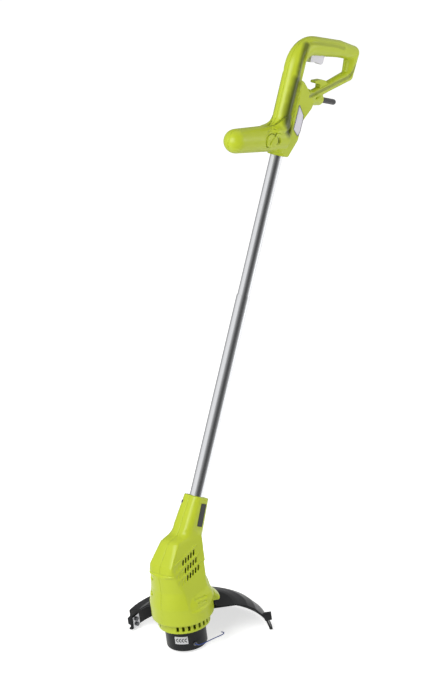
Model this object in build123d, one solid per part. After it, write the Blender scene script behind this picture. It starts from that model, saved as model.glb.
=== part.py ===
from build123d import *
import os
from math import cos, degrees, hypot, pi, radians, sin, sqrt, tan

# Corded string trimmer, sizes in millimetres.
# Z is the motor's axis, pointing up, with Z = 0 at the tap button's lowest face.
# The front of the machine faces -X, the operator stands at +X, the machine's left is -Y.
# The tubes, the neck and the handle lie in a leaning frame: u runs up the shaft,
# v is square to it towards the operator, w is the machine's Y.

# Fits and walls
touch_fit = 0.05
part_gap = 0.3
spring_gap = 0.2
wall = 3.0
screw_r = 1.6
screw_head_r = 3.4
screw_head_h = 2.6

# Shaft
shaft_lean = 32.0
shaft_foot_z = 121.5
neck_mouth_u = 127.0
tube_visible = 541.0
upper_tube_od = 20.0
upper_tube_wall = 1.2
lower_tube_wall = 0.95
upper_tube_visible = 221.0
tube_overlap = 70.0
lower_tube_in_neck = 60.0
upper_tube_in_handle = 90.0
lead_r = 3.0
lead_tail = 14.0
grommet_length = 10.0

# Handle: centre lines in (u, v) from the handle's mouth
spine_r = 15.5
spine_v = -8.0
spine_foot_u = 8.0
top_bar_u = 178.0
front_bend = 36.0
top_taper_v = 32.0
top_knee = (top_bar_u + 5.0, 92.0)
top_knee_r = 13.6
rear_corner = (top_bar_u + 2.9, 129.1)
rear_corner_r = 11.6
post_foot = (144.7, 130.3)
post_foot_r = 9.4
ball_lap = 0.15
lower_bar_r = 8.2
lower_bar_foot = (93.0, 30.0)
lower_bar_taper = 60.0
lower_groove_r = 2.2
lower_groove_w = 9.4
lower_groove_shift = 2.0
lower_groove_ends = (14.0, 92.0)
collar_r = 15.0
collar_foot_u = 3.0
collar_top_u = 30.0
web_half = 15.5
strip_half = 10.5
strip_edge_v = 8.5
web_round = 4.0
groove_outline = (
    (40.0, -5.0), (57.0, -11.8), (92.0, -12.4), (140.0, -10.4), (184.0, -8.5),
    (184.0, -5.5), (140.0, -1.0), (92.0, 3.5), (57.0, 3.0), (40.0, 0.0),
)
groove_edge = (-12.4, 14.8)
groove_tilt = 13.0
handle_rib_u = (18.0, 52.0, 86.0, 124.0)
handle_rib = 3.0
handle_rib_reach_v = 48.0

# Front grip
beak_root = (31.0, -2.0)
beak_tip = (13.0, -110.0)
beak_root_r = 21.2
beak_tip_r = 19.3
cap_v = -46.0
cap_along = 26.0
cap_across = 21.0
cap_foot_w = 13.5
cap_proud = 0.8

# Cord gland and boot
gland_u = 100.0
gland_root_v = 34.0
gland_end_v = 74.0
gland_root_r = 14.0
gland_end_r = 9.4
boot_r = 4.6
boot_root_v = 51.0
boot_end_v = 115.0
boot_flange_r = 6.6
boot_flange_v = 55.0
boot_flange = 4.0
cord_bore_r = 3.3

# Hook for a loop of lead
hook_stem_v = (63.0, 80.0)
hook_top_u = 131.0
hook_tip = (125.6, 47.5)
hook_half = 5.0

# Trigger and switch
trigger_pivot = (top_bar_u - 1.0, 24.0)
trigger_pin_r = 2.0
trigger_pin_half = 11.0
trigger_boss_r = 5.0
trigger_half = 6.0
trigger_low_u = top_bar_u - 24.0
trigger_front_v = 21.5
trigger_back_v = 55.0
trigger_pad_u = top_bar_u - 6.0
slot_half = 6.6
slot_front_v = 16.5
slot_back_v = 61.0
switch_u = (top_bar_u + 2.5, top_bar_u + 10.5)
switch_v = (32.0, 74.0)
switch_half = 5.8
plunger_r = 1.5
plunger_v = 50.0
plunger_gap = 0.6
plunger_depth = 1.5
plunger_bore_depth = 6.8
trigger_spring_v = 37.0
trigger_spring_r = 2.6
trigger_wire_r = 0.35
trigger_spring_turns = 5

# Terminal block
terminal_u = (96.0, 112.0)
terminal_v = (-9.0, 8.0)
terminal_half = 7.0

# Side panels: a kite-shaped outline in (u, v)
panel_outline = ((38.5, 20.5), (46.0, 23.8), (66.0, 24.2), (72.0, 22.5), (87.0, 7.0), (48.0, 6.2))
panel_recess = 1.0
panel_proud = 0.4

handle_screw_at = ((38.0, -16.3), (134.0, -15.5), (76.0, 29.0))
top_bar_screw_v = 88.0
lower_bar_screw = 52.0
handle_screw_reach = 7.0

# Motor housing
flange_z = 56.0
flange_r = 48.8
barrel_r = 43.2
barrel_step_z = (84.0, 112.0)
crease_z = 140.0
shoulder_z = 156.0
crown_z = 187.0
crease_size = (86.0, 80.0, 33.0)
shoulder_size = (78.0, 72.0, 22.0)
crown_size = (62.0, 38.0, 11.0)
shoulder_x = 2.0
crown_x = 22.0
facet_y = 40.9
facet_z = 90.0
facet_lean = 13.4
facet_toe = 5.0
facet_foot_z = 77.0
neck_foot_u = 62.0
neck_foot_size = (45.0, 39.0, 12.0)
neck_foot_v = -3.0
neck_mouth_size = (34.0, 33.0, 11.0)
shroud_r = 60.0
shroud_foot_z = 69.0
shroud_top_z = 108.0
shroud_lip = 5.0
shroud_sweep = 112.0
shroud_turn = -48.0
lip_bore_r = 41.2
lip_height = 2.0
ledge_height = 3.0
rib_height = 3.0
vent_rows = 3
vent_slots = 5
vent_slot = 3.2
vent_flute_count = 3
vent_flute_depth = 1.2
vent_height = 9.0
vent_step = 6.4
vent_row_step = 12.5
vent_rise = 12.0
vent_slant = 25.0
vent_mid_x = 2.0
vent_mid_z = 145.0
badge_size = (36.0, 12.0)
badge_u = 100.0
badge_v = 1.0
badge_recess = 0.6
badge_proud = 0.4
housing_screw_x = 36.2
housing_screw_z = (102.0, 131.0)
neck_screw_u = 114.0
neck_screw_v = 14.2

# Vent ring under the housing
vent_ring_r = 41.0
vent_ring_wall = 2.5
vent_ring_z = 39.0
vent_ring_top_z = 61.0
ring_slots = 28
ring_slot = 4.0
ring_slot_z = (42.6, 51.0)
ring_plain_half = 17.0
ring_hole_r = 12.0

# Motor
motor_shaft_r = 4.0
motor_shaft_z = (21.0, 152.0)
can_r = 31.0
can_wall = 4.5
can_z = (80.0, 117.0)
magnet_thickness = 3.4
magnet_sweep = 130.0
air_gap = 0.6
core_z = (86.0, 111.0)
core_slots = 12
core_slot = 2.6
core_slot_depth = 7.0
winding_r = (7.5, 19.5)
winding_height = 6.0
commutator_r = 11.0
commutator_z = (121.0, 135.0)
bearing_r = 11.0
bearing_height = 7.0
upper_bearing_z = 142.0
bearing_boss_wall = 3.5
plate_height = 3.0
plate_z = 68.0
plate_holes = 6
plate_hole_r = 6.0
plate_hole_at = 28.0
brush_plate_z = 118.0
brush_plate_height = 3.0
brush_half = 3.0
brush_height = 8.0
brush_length = 11.0
brush_box_wall = 1.5

# Cooling fan
fan_z = (46.0, 63.0)
fan_r = 35.0
fan_hub_r = 9.5
fan_disc = 2.0
fan_blades = 11
fan_blade = 1.6

# Guard: a dome swept about an axis that stands off the motor's axis
guard_offset = 14.5
guard_near_angle = -47.0
guard_sweep = 148.0
cheek_sweep = 26.0
guard_wall = 2.6
guard_bore_r = 42.0
guard_crown_r = 66.0
guard_profile = ((72.0, 54.6), (86.0, 50.0), (98.0, 42.0), (112.5, 24.5), (117.4, 6.5))
cheek_corner = ((115.5, 38.5), (117.4, 6.5))
guard_collar = 3.0
guard_edge_r = 120.0
guard_edge = 3.5
guard_edge_z = 2.0
guard_screw_at = 45.2
guard_screw_angles = (-30.0, 20.0, 70.0)
guard_screw_bite = 1.6
lug_size = (8.0, 12.0)
near_lug_z = 25.0
far_lug_z = 17.0

# Line cutter
cutter_angle = 95.5
cutter_width = 16.0
cutter_height = 20.0
cutter_thickness = 1.2
cutter_pad = 5.0
cutter_foot_z = 3.0
cutter_screw_gap = 9.0

# Cutting head
cup_r = 32.0
cup_wall = 2.5
cup_z = (8.0, 37.0)
cup_top = 3.0
cover_z = 2.5
cover_height = 3.0
cover_hole_r = 17.0
hub_r = 9.0
hub_flange_r = 13.8
hub_flange = 3.0
hub_z = 26.0
nut_r = 6.0
nut_height = 4.0
snap_wall = 1.4
spool_play = 0.5
spool_core_r = 17.0
spool_bore_r = 14.6
spool_flange = 2.0
spool_z = (9.0, 29.0)
winding_fill_r = 26.0
button_r = 16.5
button_stem_r = 14.4
button_bore_r = 9.2
button_floor = 4.0
button_stem_z = 19.0
spool_spring_r = 11.6
spool_wire_r = 0.7
spool_spring_turns = 4
eyelet_angle = 244.2
eyelet_z = 13.6
eyelet_r = 3.2
eyelet_bore_r = 1.15
eyelet_proud = 1.6
arrow_size = (21.0, 13.0)
arrow_angle = 207.0
arrow_z = 22.5
arrow_proud = 0.5

# Free end of the cutting line, from inside the eyelet to its curled tip
line_r = 0.8
line_route = (
    (-13.5, -27.9, 13.6),
    (-15.9, -33.0, 13.6),
    (-13.2, -38.3, 13.3),
    (-5.2, -40.4, 13.0),
    (4.0, -42.2, 12.8),
    (14.5, -45.0, 13.0),
    (24.0, -48.6, 13.3),
    (31.0, -50.3, 13.4),
    (35.2, -47.2, 13.5),
    (33.6, -43.2, 13.5),
)
line_bend_share = 0.45

# Values that follow from the ones above
lower_tube_id = upper_tube_od + 2 * touch_fit
lower_tube_od = lower_tube_id + 2 * lower_tube_wall
upper_tube_id = upper_tube_od - 2 * upper_tube_wall
lower_tube_foot_u = neck_mouth_u - lower_tube_in_neck
handle_mouth_u = neck_mouth_u + tube_visible
tube_joint_u = handle_mouth_u - upper_tube_visible
can_bore_r = can_r - can_wall
magnet_bore_r = can_bore_r - magnet_thickness
core_r = magnet_bore_r - air_gap
flange_cavity_r = flange_r - wall
head_floor_z = flange_z + lip_height
spool_r = cup_r - cup_wall - snap_wall - spool_play

shaft_dir = Vector(sin(radians(shaft_lean)), 0, cos(radians(shaft_lean)))
shaft_frame = Plane(origin=(0, 0, shaft_foot_z), x_dir=shaft_dir, z_dir=(0, 1, 0))
handle_origin = Vector(0, 0, shaft_foot_z) + shaft_dir * handle_mouth_u
handle_frame = Plane(origin=handle_origin, x_dir=shaft_dir, z_dir=(0, 1, 0))
huge = 400.0


def rod(radius, start, end):
    """A round bar from one point to another."""
    run = Vector(*end) - Vector(*start)
    return Solid.make_cylinder(radius, run.length, Plane(origin=start, z_dir=run))


def cone(start_r, end_r, start, end):
    """A round bar that changes its radius evenly."""
    run = Vector(*end) - Vector(*start)
    return Solid.make_cone(start_r, end_r, run.length, Plane(origin=start, z_dir=run))


def ring(outer_r, inner_r, low, high):
    """An upright ring about the Z axis."""
    return rod(outer_r, (0, 0, low), (0, 0, high)) - rod(inner_r, (0, 0, low), (0, 0, high))


def block(low, high):
    """A box given by two opposite corners."""
    size = [high[i] - low[i] for i in range(3)]
    middle = [(high[i] + low[i]) / 2 for i in range(3)]
    return Pos(*middle) * Box(*size)


def prism(outline, half):
    """A flat outline in the first two axes, thickened evenly along the third."""
    return extrude(make_face(Polyline(*outline, close=True)), amount=half, both=True)


def bent_bar(points, bends, radius):
    """A round bar along straight runs with round bends."""
    path = FilletPolyline(*points, radius=bends)
    return sweep(Plane(origin=path @ 0, z_dir=path % 0) * Circle(radius), path=path)


def joined(pieces):
    """All the pieces fused into one."""
    total = pieces[0]
    for piece in pieces[1:]:
        total = total + piece
    return total


def carved(body, cuts):
    """The body with each shape cut from it in turn."""
    for cut in cuts:
        body = body - cut
    return body


def half_space(side):
    """All of the space on one side of the middle plane Y = 0 or w = 0."""
    low, high = (0, huge) if side > 0 else (-huge, 0)
    return block((-huge, -huge, low), (huge, huge, high))


def around_z(radius, angle, z):
    """The point at this radius and angle about the Z axis."""
    return (radius * cos(radians(angle)), radius * sin(radians(angle)), z)


def on_edge(start, end, distance):
    """The point this far along the way from start to end, both in (u, v)."""
    length = hypot(end[0] - start[0], end[1] - start[1])
    share = distance / length
    return (start[0] + (end[0] - start[0]) * share, start[1] + (end[1] - start[1]) * share)


def flat(point):
    """A (u, v) point on the middle plane."""
    return (point[0], point[1], 0)


def coil(mean_r, wire_r, low, high, turns):
    """A helical spring about Z whose wire lies between two heights, in quarter-turn arcs."""
    foot = low + wire_r
    rise = (high - wire_r - foot) / (turns * 4)
    arcs = []
    for quarter in range(turns * 4):
        points = []
        for half in range(3):
            step = quarter + half / 2
            points.append(around_z(mean_r, 90 * step, foot + rise * step))
        arcs.append(ThreePointArc(*points))
    path = Wire(arcs)
    gap = rise * 4 - 2 * wire_r
    print("spring radius", mean_r, "gap between turns", round(gap, 2))
    return sweep(Plane(origin=path @ 0, z_dir=path % 0) * Circle(wire_r), path=path)


# Handle

def ball(point, radius):
    """A round joint between two bars of the handle, a little proud so that they cross it cleanly."""
    return Pos(*flat(point)) * Sphere(radius + ball_lap)


def handle_loop(inset):
    """Spine, top grip bar, rear post and lower bar, each drawn in by the inset."""
    spine = spine_r - inset
    knee = top_knee_r - inset
    corner = rear_corner_r - inset
    foot = post_foot_r - inset
    low = lower_bar_r - inset
    front_corner = (top_bar_u, spine_v)
    taper_start = on_edge(front_corner, top_knee, top_taper_v - spine_v)
    taper_end = on_edge(post_foot, lower_bar_foot, lower_bar_taper)
    runs = [
        bent_bar([(spine_foot_u + inset, spine_v), front_corner, taper_start], front_bend, spine),
        cone(spine, knee, flat(taper_start), flat(top_knee)),
        cone(knee, corner, flat(top_knee), flat(rear_corner)),
        cone(corner, foot, flat(rear_corner), flat(post_foot)),
        cone(foot, low, flat(post_foot), flat(taper_end)),
        rod(low, flat(taper_end), flat(lower_bar_foot)),
    ]
    joints = [ball(top_knee, knee), ball(rear_corner, corner), ball(post_foot, foot)]
    return joined(runs + joints)


def web_outline():
    """The flat-sided rear body behind the spine, from the mouth to below the finger gap."""
    return (
        (collar_foot_u, spine_v),
        (collar_foot_u, 12.0),
        (32.0, 27.0),
        (62.0, 27.5),
        (84.0, 43.0),
        (98.0, 46.0),
        (112.0, 26.0),
        (124.0, strip_edge_v),
        (124.0, spine_v),
    )


def strip_outline():
    """The narrow band that runs on up beside the spine to the top bar."""
    return (
        (100.0, spine_v),
        (100.0, strip_edge_v),
        (top_bar_u - spine_r + 6, strip_edge_v),
        (top_bar_u - 4, spine_v + 12),
        (top_bar_u - 14, spine_v),
    )


def flat_body(outline, half, inset):
    """A flat-sided body with rounded edges, drawn in by the inset."""
    face = make_face(Polyline(*outline, close=True))
    if inset:
        face = offset(face, amount=-inset, kind=Kind.INTERSECTION)
    body = extrude(face, amount=half - inset, both=True)
    sides = body.edges().group_by(Axis.Z)
    return fillet(sides[0] + sides[-1], web_round / 2 if inset else web_round)


def web(inset):
    return flat_body(web_outline(), web_half, inset)


def strip(inset):
    return flat_body(strip_outline(), strip_half, inset)


def beak(inset):
    """Front grip: a drooping round bar with a ball end."""
    bar = cone(beak_root_r - inset, beak_tip_r - inset, flat(beak_root), flat(beak_tip))
    return bar + Pos(*flat(beak_tip)) * Sphere(beak_tip_r - inset)


def grooves(grow):
    """The long valley down each side between the spine and the rear body, deepest at the rear body."""
    face = make_face(Polyline(*groove_outline, close=True))
    if grow:
        face = offset(face, amount=grow, kind=Kind.INTERSECTION)
    depth = 2 * spine_r
    edge_v, edge_w = groove_edge
    above_floor = block((-huge, -huge, 0), (huge, huge, huge))
    above_floor = Pos(0, edge_v, edge_w - grow) * Rot(-groove_tilt, 0, 0) * above_floor
    cut = extrude(face, amount=depth) & above_floor
    return cut + mirror(cut, Plane.XY)


def lower_bar_grooves():
    """A shadow line along each side of the lower bar, towards its outer edge."""
    length = hypot(lower_bar_foot[0] - post_foot[0], lower_bar_foot[1] - post_foot[1])
    out_u = (lower_bar_foot[1] - post_foot[1]) / length * lower_groove_shift
    out_v = (post_foot[0] - lower_bar_foot[0]) / length * lower_groove_shift
    rods = []
    for w in (-lower_groove_w, lower_groove_w):
        ends = []
        for distance in lower_groove_ends:
            u, v = on_edge(post_foot, lower_bar_foot, distance)
            ends.append((u + out_u, v + out_v, w))
        rods.append(rod(lower_groove_r, *ends))
    return rods


def handle_outer():
    collar = rod(collar_r, (collar_foot_u, 0, 0), (collar_top_u, 0, 0))
    gland = cone(gland_root_r, gland_end_r, (gland_u, gland_root_v, 0), (gland_u, gland_end_v, 0))
    body = joined([handle_loop(0), web(0), strip(0), beak(0), collar, gland])
    return carved(body - grooves(0), lower_bar_grooves())


def handle_screw_points():
    """Where the handle's screws cross the middle plane."""
    in_lower_bar = on_edge(post_foot, lower_bar_foot, lower_bar_screw)
    in_top_bar = on_edge((top_bar_u, spine_v), top_knee, top_bar_screw_v - spine_v)
    return list(handle_screw_at) + [in_lower_bar, in_top_bar]


def handle_bosses():
    """Solid posts across the handle for its screws and for the trigger's pin."""
    posts = []
    for u, v in handle_screw_points():
        posts.append(rod(screw_head_r + 1.2, (u, v, -spine_r), (u, v, spine_r)))
    for side in (-1, 1):
        face = side * (trigger_half + part_gap)
        u, v = trigger_pivot
        posts.append(rod(trigger_boss_r, (u, v, face), (u, v, side * spine_r)))
    return joined(posts)


def handle_cavity():
    """The hollow inside the handle, less its ribs and screw posts."""
    hollow = joined([handle_loop(wall), web(wall), beak(wall)]) - grooves(wall / 2)
    for u in handle_rib_u:
        hollow = hollow - block((u, -spine_r - 10, -huge), (u + handle_rib, handle_rib_reach_v, huge))
    gland_half = gland_root_r + 2
    gland_land = block((gland_u - gland_half, gland_root_v, -huge), (gland_u + gland_half, huge, huge))
    return hollow - handle_bosses() - (gland_land - handle_loop(wall))


def screw(start, end):
    """A screw from its tip to the top of its head."""
    run = (Vector(*end) - Vector(*start)).normalized()
    neck = Vector(*end) - run * screw_head_h
    return rod(screw_r, start, tuple(neck)) + rod(screw_head_r, tuple(neck), end)


def screw_hole(start, end):
    """Clearance for a screw, open past its head."""
    run = (Vector(*end) - Vector(*start)).normalized()
    neck = Vector(*end) - run * screw_head_h
    tip = Vector(*start) - run * touch_fit
    mouth = Vector(*end) + run * spine_r
    shank = rod(screw_r + touch_fit, tuple(tip), tuple(neck))
    return shank + rod(screw_head_r + touch_fit, tuple(neck), tuple(mouth))


def handle_screw_ends():
    """Tip and head of each handle screw, with the heads on the right side."""
    ends = []
    for u, v in handle_screw_points():
        ends.append(((u, v, -handle_screw_reach), (u, v, handle_screw_reach)))
    return ends


def trigger_outline():
    return (
        (trigger_pivot[0] + 2, trigger_front_v),
        (trigger_low_u, trigger_front_v),
        (trigger_low_u + 1.5, trigger_front_v + 12),
        (trigger_low_u + 1.5, trigger_back_v - 12),
        (trigger_low_u - 0.5, trigger_back_v - 4),
        (trigger_low_u + 2.5, trigger_back_v),
        (trigger_pad_u, trigger_back_v),
        (trigger_pad_u, trigger_pivot[1] + trigger_boss_r),
        (trigger_pivot[0] + 2, trigger_pivot[1] + trigger_boss_r - 1),
    )


def trigger():
    u, v = trigger_pivot
    boss = rod(trigger_boss_r, (u, v, -trigger_half), (u, v, trigger_half))
    lever = prism(trigger_outline(), trigger_half) + boss
    return lever - rod(trigger_pin_r + touch_fit, (u, v, -huge), (u, v, huge))


def trigger_pin(clearance):
    u, v = trigger_pivot
    half = trigger_pin_half + clearance
    return rod(trigger_pin_r + clearance, (u, v, -half), (u, v, half))


def trigger_slot():
    return block((top_bar_u - spine_r - 5, slot_front_v, -slot_half), (top_bar_u, slot_back_v, slot_half))


def trigger_spring():
    foot = trigger_pad_u + spring_gap
    spring = coil(trigger_spring_r, trigger_wire_r, foot, switch_u[0], trigger_spring_turns)
    return Pos(0, trigger_spring_v, 0) * Rot(0, 90, 0) * spring


def switch_box(clearance):
    low = (switch_u[0] - clearance, switch_v[0] - clearance, -switch_half - clearance)
    high = (switch_u[1] + clearance, switch_v[1] + clearance, switch_half + clearance)
    return block(low, high)


def switch_body():
    bore_top = switch_u[0] + plunger_bore_depth
    bore = rod(plunger_r + touch_fit, (switch_u[0] - 1, plunger_v, 0), (bore_top, plunger_v, 0))
    return switch_box(0) - bore


def switch_plunger():
    foot = trigger_pad_u + plunger_gap
    return rod(plunger_r, (foot, plunger_v, 0), (switch_u[0] + plunger_depth, plunger_v, 0))


def switch_lands():
    """Two ribs under the top of the grip bar that hold the switch."""
    lands = []
    for v in (switch_v[0] + 6, switch_v[1] - 6):
        lands.append(block((switch_u[0] + 3, v - 1.5, -spine_r), (top_bar_u + spine_r, v + 1.5, spine_r)))
    return joined(lands) & handle_loop(0)


def terminal_box(clearance):
    low = (terminal_u[0], terminal_v[0] - clearance, -terminal_half - clearance)
    high = (terminal_u[1] + clearance, terminal_v[1] + clearance, terminal_half + clearance)
    return block(low, high)


def terminal_land():
    """A rib round the terminal block."""
    middle = (terminal_u[0] + terminal_u[1]) / 2
    land = block((middle - 2, -huge, -huge), (middle + 2, terminal_v[1] + 4, huge))
    return land & (handle_loop(wall) + web(wall))


def panel(side, clearance):
    outline = make_face(Polyline(*panel_outline, close=True))
    if clearance:
        outline = offset(outline, amount=clearance)
    floor = web_half - panel_recess
    plate = extrude(outline, amount=panel_recess + panel_proud)
    return Pos(0, 0, floor) * plate if side > 0 else Pos(0, 0, -floor - panel_recess - panel_proud) * plate


def grip_cap(side, clearance):
    """An oval cap let into the side of the front grip."""
    lean = Vector(beak_tip[0] - beak_root[0], beak_tip[1] - beak_root[1], 0)
    middle = on_edge(beak_root, beak_tip, beak_root[1] - cap_v)
    oval = Plane(origin=(middle[0], middle[1], 0), x_dir=lean, z_dir=(0, 0, 1)) * Ellipse(
        cap_along / 2 + clearance, cap_across / 2 + clearance)
    height = 2 * beak_root_r
    plate = extrude(oval, amount=height)
    foot = cap_foot_w if side > 0 else -cap_foot_w - height
    plug = Pos(0, 0, foot) * plate
    return plug if clearance else plug & beak(-cap_proud)


def boot(clearance):
    """The rubber strain relief, solid."""
    root = (gland_u, boot_root_v - clearance, 0)
    tip = (gland_u, boot_end_v - boot_r, 0)
    stem = rod(boot_r + clearance, root, tip)
    flange_low = (gland_u, boot_flange_v - clearance, 0)
    flange_high = (gland_u, boot_flange_v + boot_flange + clearance, 0)
    flange = rod(boot_flange_r + clearance, flange_low, flange_high)
    return joined([stem, flange, Pos(*tip) * Sphere(boot_r + clearance)])


def cord_bore():
    return rod(cord_bore_r, (gland_u, boot_root_v - 1, 0), (gland_u, boot_end_v + 1, 0))


def cord_boot():
    return boot(0) - cord_bore()


def cord_clamp_box(clearance):
    low = (gland_u - 8 - clearance, boot_root_v - 16 - clearance, cord_bore_r)
    high = (gland_u + 8 + clearance, boot_root_v - 8 + clearance, cord_bore_r + 4 + clearance)
    return block(low, high)


def cord_hook():
    outline = (
        (hook_top_u - 17, hook_stem_v[0]),
        (hook_top_u - 7.5, hook_stem_v[0] - 1.5),
        (hook_tip[0] - 2, hook_tip[1]),
        (hook_tip[0] + 2, hook_tip[1]),
        (hook_top_u, hook_stem_v[0] - 1),
        (hook_top_u, hook_stem_v[1] - 7),
        (hook_top_u - 4, hook_stem_v[1]),
        (hook_top_u - 15, hook_stem_v[1]),
    )
    body = prism(outline, hook_half)
    return body - handle_loop(0)


def handle_shell(side):
    """One half of the handle: side -1 is the left half."""
    body = handle_outer() - handle_cavity() + switch_lands() + terminal_land()
    tube_bore = rod(upper_tube_od / 2 + touch_fit, (-huge, 0, 0), (upper_tube_in_handle, 0, 0))
    lead_way = rod(lead_r + 1, (upper_tube_in_handle - 1, 0, 0), (terminal_u[0], 0, 0))
    gland_way = rod(cord_bore_r, (gland_u, 20, 0), (gland_u, boot_root_v, 0))
    cuts = [tube_bore, lead_way, gland_way, trigger_slot(), trigger_pin(touch_fit), switch_box(touch_fit),
            terminal_box(touch_fit), boot(touch_fit), cord_clamp_box(touch_fit)]
    cuts += [screw_hole(*ends) for ends in handle_screw_ends()]
    cuts += [panel(side, touch_fit), grip_cap(side, touch_fit)]
    return carved(body & half_space(side), cuts)


# Motor head

def rounded(size, inset):
    long_side, short_side, corner = size
    return RectangleRounded(long_side - 2 * inset, short_side - 2 * inset, corner - inset)


def cap_shell(inset):
    """The cap over the motor: from the crease to the shoulder and up to the crown."""
    sections = [
        Pos(0, 0, crease_z) * rounded(crease_size, inset),
        Pos(shoulder_x, 0, shoulder_z) * rounded(shoulder_size, inset),
        Pos(crown_x, 0, crown_z - inset) * rounded(crown_size, inset),
    ]
    return loft(sections, ruled=True)


def neck_plane(u, v):
    """A plane square to the shaft, its first axis along v and its second along Y."""
    centre = shaft_frame.from_local_coords(Vector(u, v, 0))
    across = shaft_frame.y_dir
    return Plane(origin=centre, x_dir=across, z_dir=shaft_dir)


def neck():
    foot = neck_plane(neck_foot_u, neck_foot_v) * rounded(neck_foot_size, 0)
    mouth = neck_plane(neck_mouth_u, 0) * rounded(neck_mouth_size, 0)
    return loft([foot, mouth], ruled=True)


def turned(outline):
    """A body of revolution from an outline in (radius, height)."""
    face = make_face(Polyline(*[(r, 0, z) for r, z in outline], close=True))
    return revolve(face, Axis.Z)


def barrel(inset):
    low = barrel_step_z[0]
    high = barrel_step_z[1]
    return turned((
        (0, flange_z),
        (flange_r - inset, flange_z),
        (flange_r - inset, low),
        (barrel_r - inset, high),
        (barrel_r - inset, crease_z),
        (0, crease_z),
    ))


def shroud():
    """A hood at the rear that covers the guard's inner edge."""
    inner = flange_r - wall
    outline = (
        (inner, shroud_foot_z),
        (shroud_r - 2, shroud_foot_z),
        (shroud_r, shroud_foot_z + 3),
        (shroud_r, shroud_foot_z + shroud_lip),
        (shroud_r - 5, shroud_foot_z + shroud_lip + 6),
        (flange_r, shroud_foot_z + shroud_lip + 15),
        (barrel_r + 2, shroud_top_z),
        (barrel_r - wall + 1, shroud_top_z),
    )
    face = make_face(Polyline(*[(r, 0, z) for r, z in outline], close=True))
    return Rot(0, 0, shroud_turn) * revolve(face, Axis.Z, shroud_sweep)


def facet_plane(depth):
    """The left facet's plane, at a depth under its skin: first axis to the rear, second upwards."""
    rear = Vector(cos(radians(facet_toe)), -sin(radians(facet_toe)), 0)
    outward = Vector(rear.Y, -rear.X, tan(radians(facet_lean))).normalized()
    return Plane(origin=Vector(0, -facet_y, facet_z) - outward * depth, x_dir=rear, z_dir=outward)


def flats(depth):
    """What is cut off the barrel and the cap to leave a leaning facet on each side."""
    outside = facet_plane(depth) * block((-huge, -huge, 0), (huge, huge, huge))
    side = outside & block((-huge, -huge, facet_foot_z - depth), (huge, 0, huge))
    return [side, mirror(side, Plane.XZ)]


def vent_slots_in(count, first, depth):
    """Upright slots in both facets: rows that rise to the rear, from a place along the row."""
    cuts = []
    for row in range(vent_rows):
        for slot in range(count):
            along = (first + slot) * vent_step
            x = vent_mid_x + along
            z = vent_mid_z + along * tan(radians(vent_rise)) + (row - 1) * vent_row_step
            place = Pos(x, (z - facet_z) / cos(radians(facet_lean)), 0) * Rot(0, 0, -vent_slant)
            slot_box = facet_plane(0) * place * Box(vent_slot, vent_height, 2 * depth)
            cuts += [slot_box, mirror(slot_box, Plane.XZ)]
    return cuts


def vent_cuts():
    return vent_slots_in(vent_slots, -(vent_slots - 1) / 2, 1.5 * wall)


def vent_flutes():
    """Blind grooves that carry each row of slots on towards the front."""
    return vent_slots_in(vent_flute_count, -(vent_slots - 1) / 2 - vent_flute_count, vent_flute_depth)


def head_outer():
    faceted = carved(joined([barrel(0), cap_shell(0)]), flats(0))
    return joined([faceted, neck(), shroud()])


def head_cavity():
    """The hollow for the motor, less the ribs and posts that carry it."""
    hollow = carved(joined([barrel(wall), cap_shell(wall)]), flats(wall))
    lip = ring(huge, lip_bore_r, 0, head_floor_z)
    ledge_low = plate_z + plate_height
    ledge = ring(huge, flange_cavity_r - 4, ledge_low, ledge_low + ledge_height)
    ribs = [lip, ledge]
    for low in (can_z[0] + 4, can_z[1] - 4 - rib_height, brush_plate_z):
        ribs.append(ring(huge, can_r + touch_fit, low, low + rib_height))
    seat_low = upper_bearing_z - 1.5
    seat = rod(huge, (0, 0, seat_low), (0, 0, upper_bearing_z + bearing_height + 2))
    pocket_top = upper_bearing_z + bearing_height + touch_fit
    pocket = rod(bearing_r + touch_fit, (0, 0, upper_bearing_z), (0, 0, pocket_top))
    passage = rod(motor_shaft_r + 2, (0, 0, 0), (0, 0, huge))
    ribs.append(seat - pocket - passage)
    for x in (-housing_screw_x, housing_screw_x):
        for z in housing_screw_z:
            ribs.append(rod(screw_head_r + 0.6, (x, -huge, z), (x, huge, z)))
    return carved(hollow, ribs)


def housing_screw_ends():
    ends = []
    for x in (-housing_screw_x, housing_screw_x):
        for z in housing_screw_z:
            ends.append(((x, -10, z), (x, 14, z)))
    for v in (-neck_screw_v, neck_screw_v):
        tip = shaft_frame.from_local_coords(Vector(neck_screw_u, v, -9))
        head = shaft_frame.from_local_coords(Vector(neck_screw_u, v, 13))
        ends.append((tuple(tip), tuple(head)))
    return ends


def badge(side, clearance):
    """A bare plate let into the side of the neck."""
    taper = (neck_foot_size[1] - neck_mouth_size[1]) / 2 / (neck_mouth_u - neck_foot_u)
    half = neck_mouth_size[1] / 2 + (neck_mouth_u - badge_u) * taper
    outline = Rectangle(badge_size[0] + 2 * clearance, badge_size[1] + 2 * clearance)
    plate = extrude(outline, amount=badge_recess + badge_proud)
    normal = Vector(taper, 0, 1).normalized()
    floor = Vector(badge_u, badge_v, half) - normal * badge_recess
    along = Vector(1, 0, -taper)
    placed = Plane(origin=floor, x_dir=along, z_dir=normal) * plate
    if side < 0:
        placed = mirror(placed, Plane.XY)
    return shaft_frame * placed


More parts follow.
